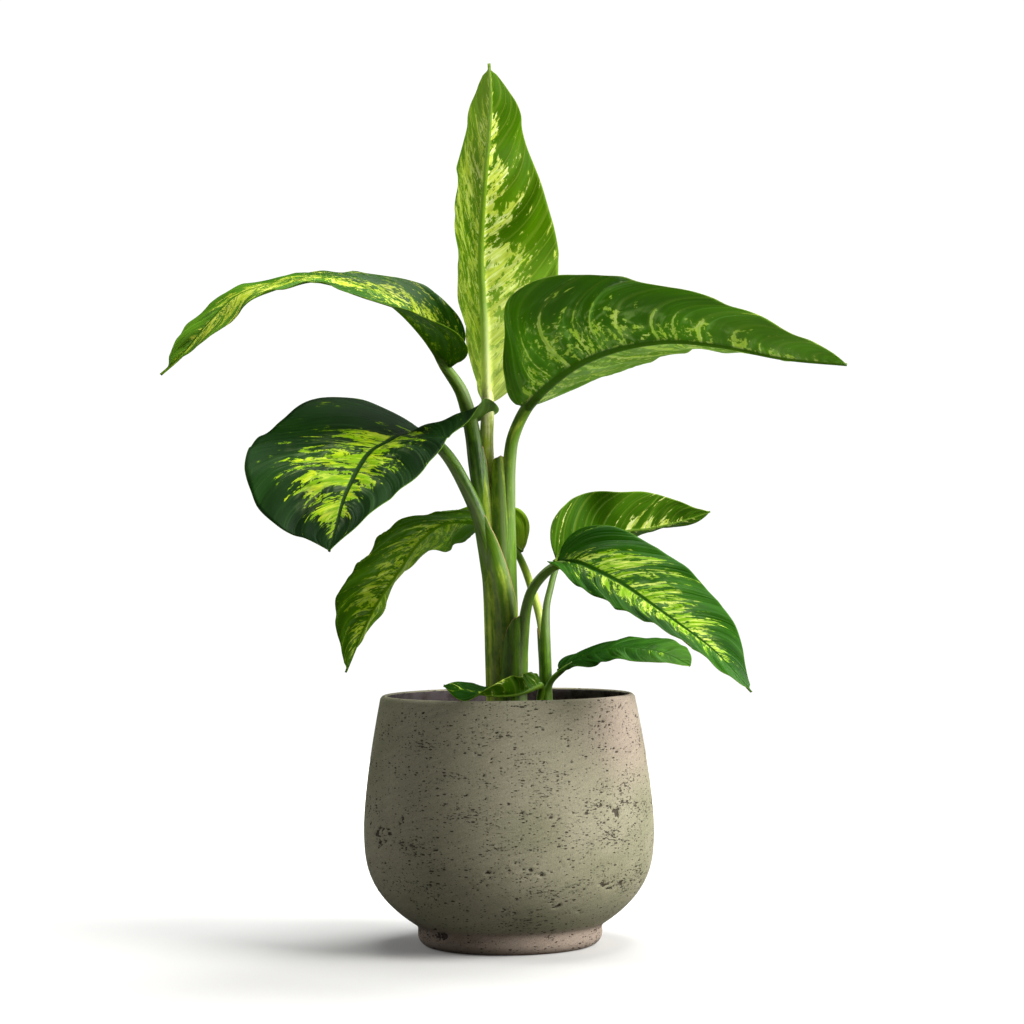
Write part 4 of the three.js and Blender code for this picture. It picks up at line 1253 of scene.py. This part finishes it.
def blade_material(palette, facing, s):
    """The skin of one side of a blade, with variegation that feathers out along the side veins."""
    look = PALETTES[palette]
    deep, green, lime, cream, rib_green = (srgb(*c) for c in look[facing])
    side = SIDES.index(facing)
    under = side == UNDER
    material, n = new_material(palette + "_leaf_" + facing)
    place = n.attribute("lamina")
    zone, rib, margin = n.split(n.attribute("patch"))
    broken, veined, pale = n.split(n.attribute("mottle"))
    from_vein = n.math("PINGPONG", n.split(place)[0], 0.5)
    vein = n.step(from_vein, 0.0, 0.16, 1.0, 0.0)

    streaks, fingers, specks = look["mottling"]
    streak = n.drawn(place, *streaks, 0, 3, 0.55, 0.4) - 0.5
    finger = n.drawn(place, *fingers, 0, 3, 0.6, 0.5, shift=(5, 0, 0)) - 0.5
    speck = n.drawn(place, *specks, 0, 4, 0.65, 0.4, shift=(0, 7, 0)) - 0.5
    core = n.math("MINIMUM", zone, 0.7 - broken * 0.2)
    core = n.math("MAXIMUM", core, broken * 0.24 - 0.12)
    torn = streak * (2.6 - broken * 1.3 - veined)
    torn = torn + finger * (2.0 + broken * 0.4)
    torn = torn + speck * (1.1 + broken * 1.2 + veined * 1.2)
    field = core - veined * 0.16 + torn * (1.0 - veined * 0.1)
    uneven = n.step(n.drawn(place, 0.7, 0.3, 0, 2, 0.5, shift=(3, 3, 0)), 0.36, 0.6, 0.3, 1.3)
    near = n.step(zone, 0.1, 0.45) * uneven
    field = field + n.step(from_vein, 0.0, 0.09, 0.75, -0.1) * veined * near
    thread = n.step(from_vein, 0.0, 0.035, 0.6, 0.0) * (near * veined)
    patch = n.step(field, 0.48, 0.53)

    low = n.drawn(place, 0.3, 0.22, 0, 3, 0.55, shift=(2, 0, 0))
    fine = n.drawn(place, 7, 0.3, 0, 3, 0.6)
    # pale lifts the tint from deep to plain green: partly the leaf's own tone and partly painted light for highlights
    # and for light through the blade.
    tint = n.mix(n.step(low + pale * 1.5, 0.3, 0.7), deep, green)
    tint = n.mix(vein * 0.12, tint, lime if under else green)
    halo = n.step(field, 0.34, 0.5, 0.0, 0.4) * (1.0 - broken * 0.7)
    tint = n.mix(halo, tint, n.mix(0.4, green, lime))
    marble = n.drawn(place, 3.6, 0.6, 0, 4, 0.7, 0.5, shift=(1, 9, 0))
    light = n.mix(n.step(marble, 0.43, 0.66), lime, cream)
    light = n.mix(n.step(field, 0.5, 0.6, 0.7, 0.0), light, lime)
    islands = n.drawn(place, 2.2, 0.5, 0, 3, 0.6, shift=(6, 4, 0))
    light = n.mix(n.step(islands, 0.55, 0.7, 0.0, 0.5), light, green)
    tint = n.mix(patch, tint, light)
    # pale also draws the tint towards lime and cream: partly own tone, partly painted light.
    tint = n.mix(pale * 0.7, tint, n.mix(0.5, lime, cream))
    # Painted highlight: wavy pale lines beside the rib stand in for gloss; the threads along the side veins near the
    # rib are real pale lines.
    drift = n.drawn(place, 0.8, 0.6, 0, 2, 0.5, 0.6, shift=(4, 1, 0))
    crease = n.step(n.math("ABSOLUTE", drift - 0.5), 0.0, 0.09, 0.5, 0.0) * n.step(marble, 0.4, 0.6)
    crease = crease * veined * n.step(zone, 0.05, 0.45)
    tint = n.mix(n.math("MAXIMUM", crease, thread), tint, s.crease)
    tint = n.shaded(tint, fine, 0.84, 1.16)
    # Lighter and darker bands along the veins: partly the leaf's own tone and partly painted light and shade of the
    # sheen on its waves.
    ripple = n.drawn(place, 4.0, 0.13, 0, 3, 0.6, shift=(8, 2, 0))
    tint = n.shaded(tint, ripple, 0.6, 1.4)
    # Painted highlight: the brightest ripples take the sheen colour.
    tint = n.mix(n.step(ripple, 0.56, 0.78) * look["sheen"], tint, s.sheen)
    if palette == "lime":
        rib_green = n.mix(pale, rib_green, cream)
    tint = n.mix(n.step(rib, *((0.2, 0.55) if under else (0.05, 0.35))), tint, rib_green)
    tint = n.mix(n.step(margin, 0.15, 0.5, 0.3, 0.0), tint, lime)

    smoothest = look["rough"][side]
    rough = n.step(low, 0.2, 0.8, smoothest, smoothest + 0.12)
    height = fine * 0.16 + vein * (0.5 if under else -0.5) + ripple * 0.8 + patch * 0.12
    glow_tint = n.mix(0.35, tint, s.through)
    finish_material(n, tint, rough, height, 0.00035, look["shine"], look["glow"][side], glow_tint)
    return material


class DUMBCANE_OT_blades(bpy.types.Operator):
    """Draws every leaf blade with its rib, veins and variegation"""

    bl_idname = "dumbcane.blades"
    bl_label = "Leaf blades"

    def execute(self, context):
        s = context.scene.blade_settings
        skins = {p: [blade_material(p, facing, s) for facing in SIDES] for p in PALETTES}
        for number, (node, leaf) in enumerate(BLADES.items()):
            place_in_frame(blade_mesh("variegated_" + node, leaf, s, skins[leaf["palette"]], number), node)
        return {"FINISHED"}


# ---------- stage ----------
# Where each light stands, what it points at, its width, height, power and tint.
SOFTBOXES = {
    "key_light": ((1.85, -0.75, 1.1), (0, 0, 0.25), 1.3, 1.5, 114, (1.0, 0.985, 0.965)),
    "overhead_light": ((0.2, 0.3, 2.3), (0, 0, 0.3), 1.4, 1.4, 66, (1, 1, 1)),
    "back_light": ((1.3, 1.5, 1.3), (0, 0, 0.4), 1.5, 1.5, 24, (1, 1, 1)),
    "left_light": ((-1.7, 0.2, 1.2), (0, 0, 0.4), 0.8, 1.0, 10, (1, 1, 1)),
}
CAMERA_PAN, CAMERA_TILT, CAMERA_ROLL = -0.00229, 0.01036, -0.0109  # radians, from straight ahead and level
SENSOR_WIDTH = 36
SEEN_BACKGROUND = 1.05  # brightness of the white behind, as the camera sees it
FLOOR_SIDES = 96
FLOOR_RINGS = 12
FLOOR_MIDDLE = 0.02  # radius of the innermost ring


def floor_material(s):
    material, n = new_material("studio_floor")
    place = n.object_place()
    seen = n.take("ShaderNodeLightPath", output="Is Camera Ray")
    tint = n.mix(seen, s.floor_bounce, n.shaded(s.floor_colour, n.noise(place, 3, 2, 0.5), 0.985, 1.0))
    matt = n.take("ShaderNodeBsdfDiffuse", {"Color": tint})
    strength = n.step(n.vector("LENGTH", place, output="Value"), 0.3, 1.0, s.floor_lift, 0.8)
    lift = n.take("ShaderNodeEmission", {"Color": (1, 1, 1), "Strength": seen * strength})
    n.add("ShaderNodeOutputMaterial", {"Surface": n.take("ShaderNodeAddShader", {0: matt, 1: lift})})
    return material


def softbox(name, place, target, width, height, power, tint):
    data = bpy.data.lights.new(name, "AREA")
    data.shape = "RECTANGLE"
    data.size = width
    data.size_y = height
    data.energy = power
    data.color = tint
    lamp = linked(name, data)
    lamp.location = place
    lamp.rotation_euler = (Vector(target) - Vector(place)).to_track_quat("-Z", "Y").to_euler()


class DUMBCANE_OT_stage(bpy.types.Operator):
    """Lays the floor and sets the lights and the camera"""

    bl_idname = "dumbcane.stage"
    bl_label = "Stage"

    def execute(self, context):
        s = context.scene.stage_settings
        turns = np.linspace(0, 2 * math.pi, FLOOR_SIDES, endpoint=False)
        radii = np.linspace(FLOOR_MIDDLE, s.floor_radius, FLOOR_RINGS)
        points = [(r * math.cos(w), r * math.sin(w), 0) for r in radii for w in turns]
        faces = grid_faces(FLOOR_RINGS, FLOOR_SIDES, closed=True, flip=True) + [list(range(FLOOR_SIDES))]
        mesh_object("floor", points, faces, [floor_material(s)])

        world = bpy.data.worlds.new("studio")
        context.scene.world = world
        world.use_nodes = True
        world.node_tree.nodes.clear()
        n = Nodes(world.node_tree)
        glossy, seen = (n.take("ShaderNodeLightPath", output=ray) for ray in ("Is Glossy Ray", "Is Camera Ray"))
        around = n.step(glossy, 0, 1, s.surround, s.surround * 0.5)
        strength = n.step(seen, 0, 1, around, SEEN_BACKGROUND)
        glow = n.take("ShaderNodeBackground", {"Color": (1, 1, 1), "Strength": strength})
        n.add("ShaderNodeOutputWorld", {"Surface": glow})

        for name, light in SOFTBOXES.items():
            softbox(name, *light)

        data = bpy.data.cameras.new("camera")
        data.lens = s.lens
        data.sensor_width = SENSOR_WIDTH
        camera = linked("camera", data)
        camera.matrix_world = (
            Matrix.Translation((0, -s.camera_distance, s.camera_height))
            @ Matrix.Rotation(CAMERA_PAN, 4, "Z")
            @ Matrix.Rotation(math.pi / 2 + CAMERA_TILT, 4, "X")
            @ Matrix.Rotation(CAMERA_ROLL, 4, "Z")
        )
        context.scene.camera = camera
        context.scene.view_settings.view_transform = "Standard"
        return {"FINISHED"}


# ---------- add-on ----------
STEPS = {
    "stage_settings": (StageSettings, DUMBCANE_OT_stage),
    "planter_settings": (PlanterSettings, DUMBCANE_OT_planter),
    "soil_settings": (SoilSettings, DUMBCANE_OT_soil),
    "stalk_settings": (StalkSettings, DUMBCANE_OT_stalks),
    "blade_settings": (BladeSettings, DUMBCANE_OT_blades),
}


class DUMBCANE_PT_panel(bpy.types.Panel):
    """Lists the pieces of the potted dumb cane"""

    bl_idname = "DUMBCANE_PT_panel"
    bl_label = "Potted dumb cane"
    bl_space_type = "VIEW_3D"
    bl_region_type = "UI"
    bl_category = "Dumb cane"

    def draw(self, context):
        for name, (group, operator) in STEPS.items():
            box = self.layout.box()
            box.operator(operator.bl_idname)
            for key in group.__annotations__:
                box.prop(getattr(context.scene, name), key)


def register():
    for name, (group, operator) in STEPS.items():
        bpy.utils.register_class(group)
        bpy.utils.register_class(operator)
        setattr(bpy.types.Scene, name, bpy.props.PointerProperty(type=group))
    bpy.utils.register_class(DUMBCANE_PT_panel)


def unregister():
    bpy.utils.unregister_class(DUMBCANE_PT_panel)
    for name, (group, operator) in reversed(STEPS.items()):
        delattr(bpy.types.Scene, name)
        bpy.utils.unregister_class(operator)
        bpy.utils.unregister_class(group)


def main():
    register()
    for step in ("stage", "planter", "soil", "stalks", "blades"):
        getattr(bpy.ops.dumbcane, step)()


if __name__ == "__main__":
    main()
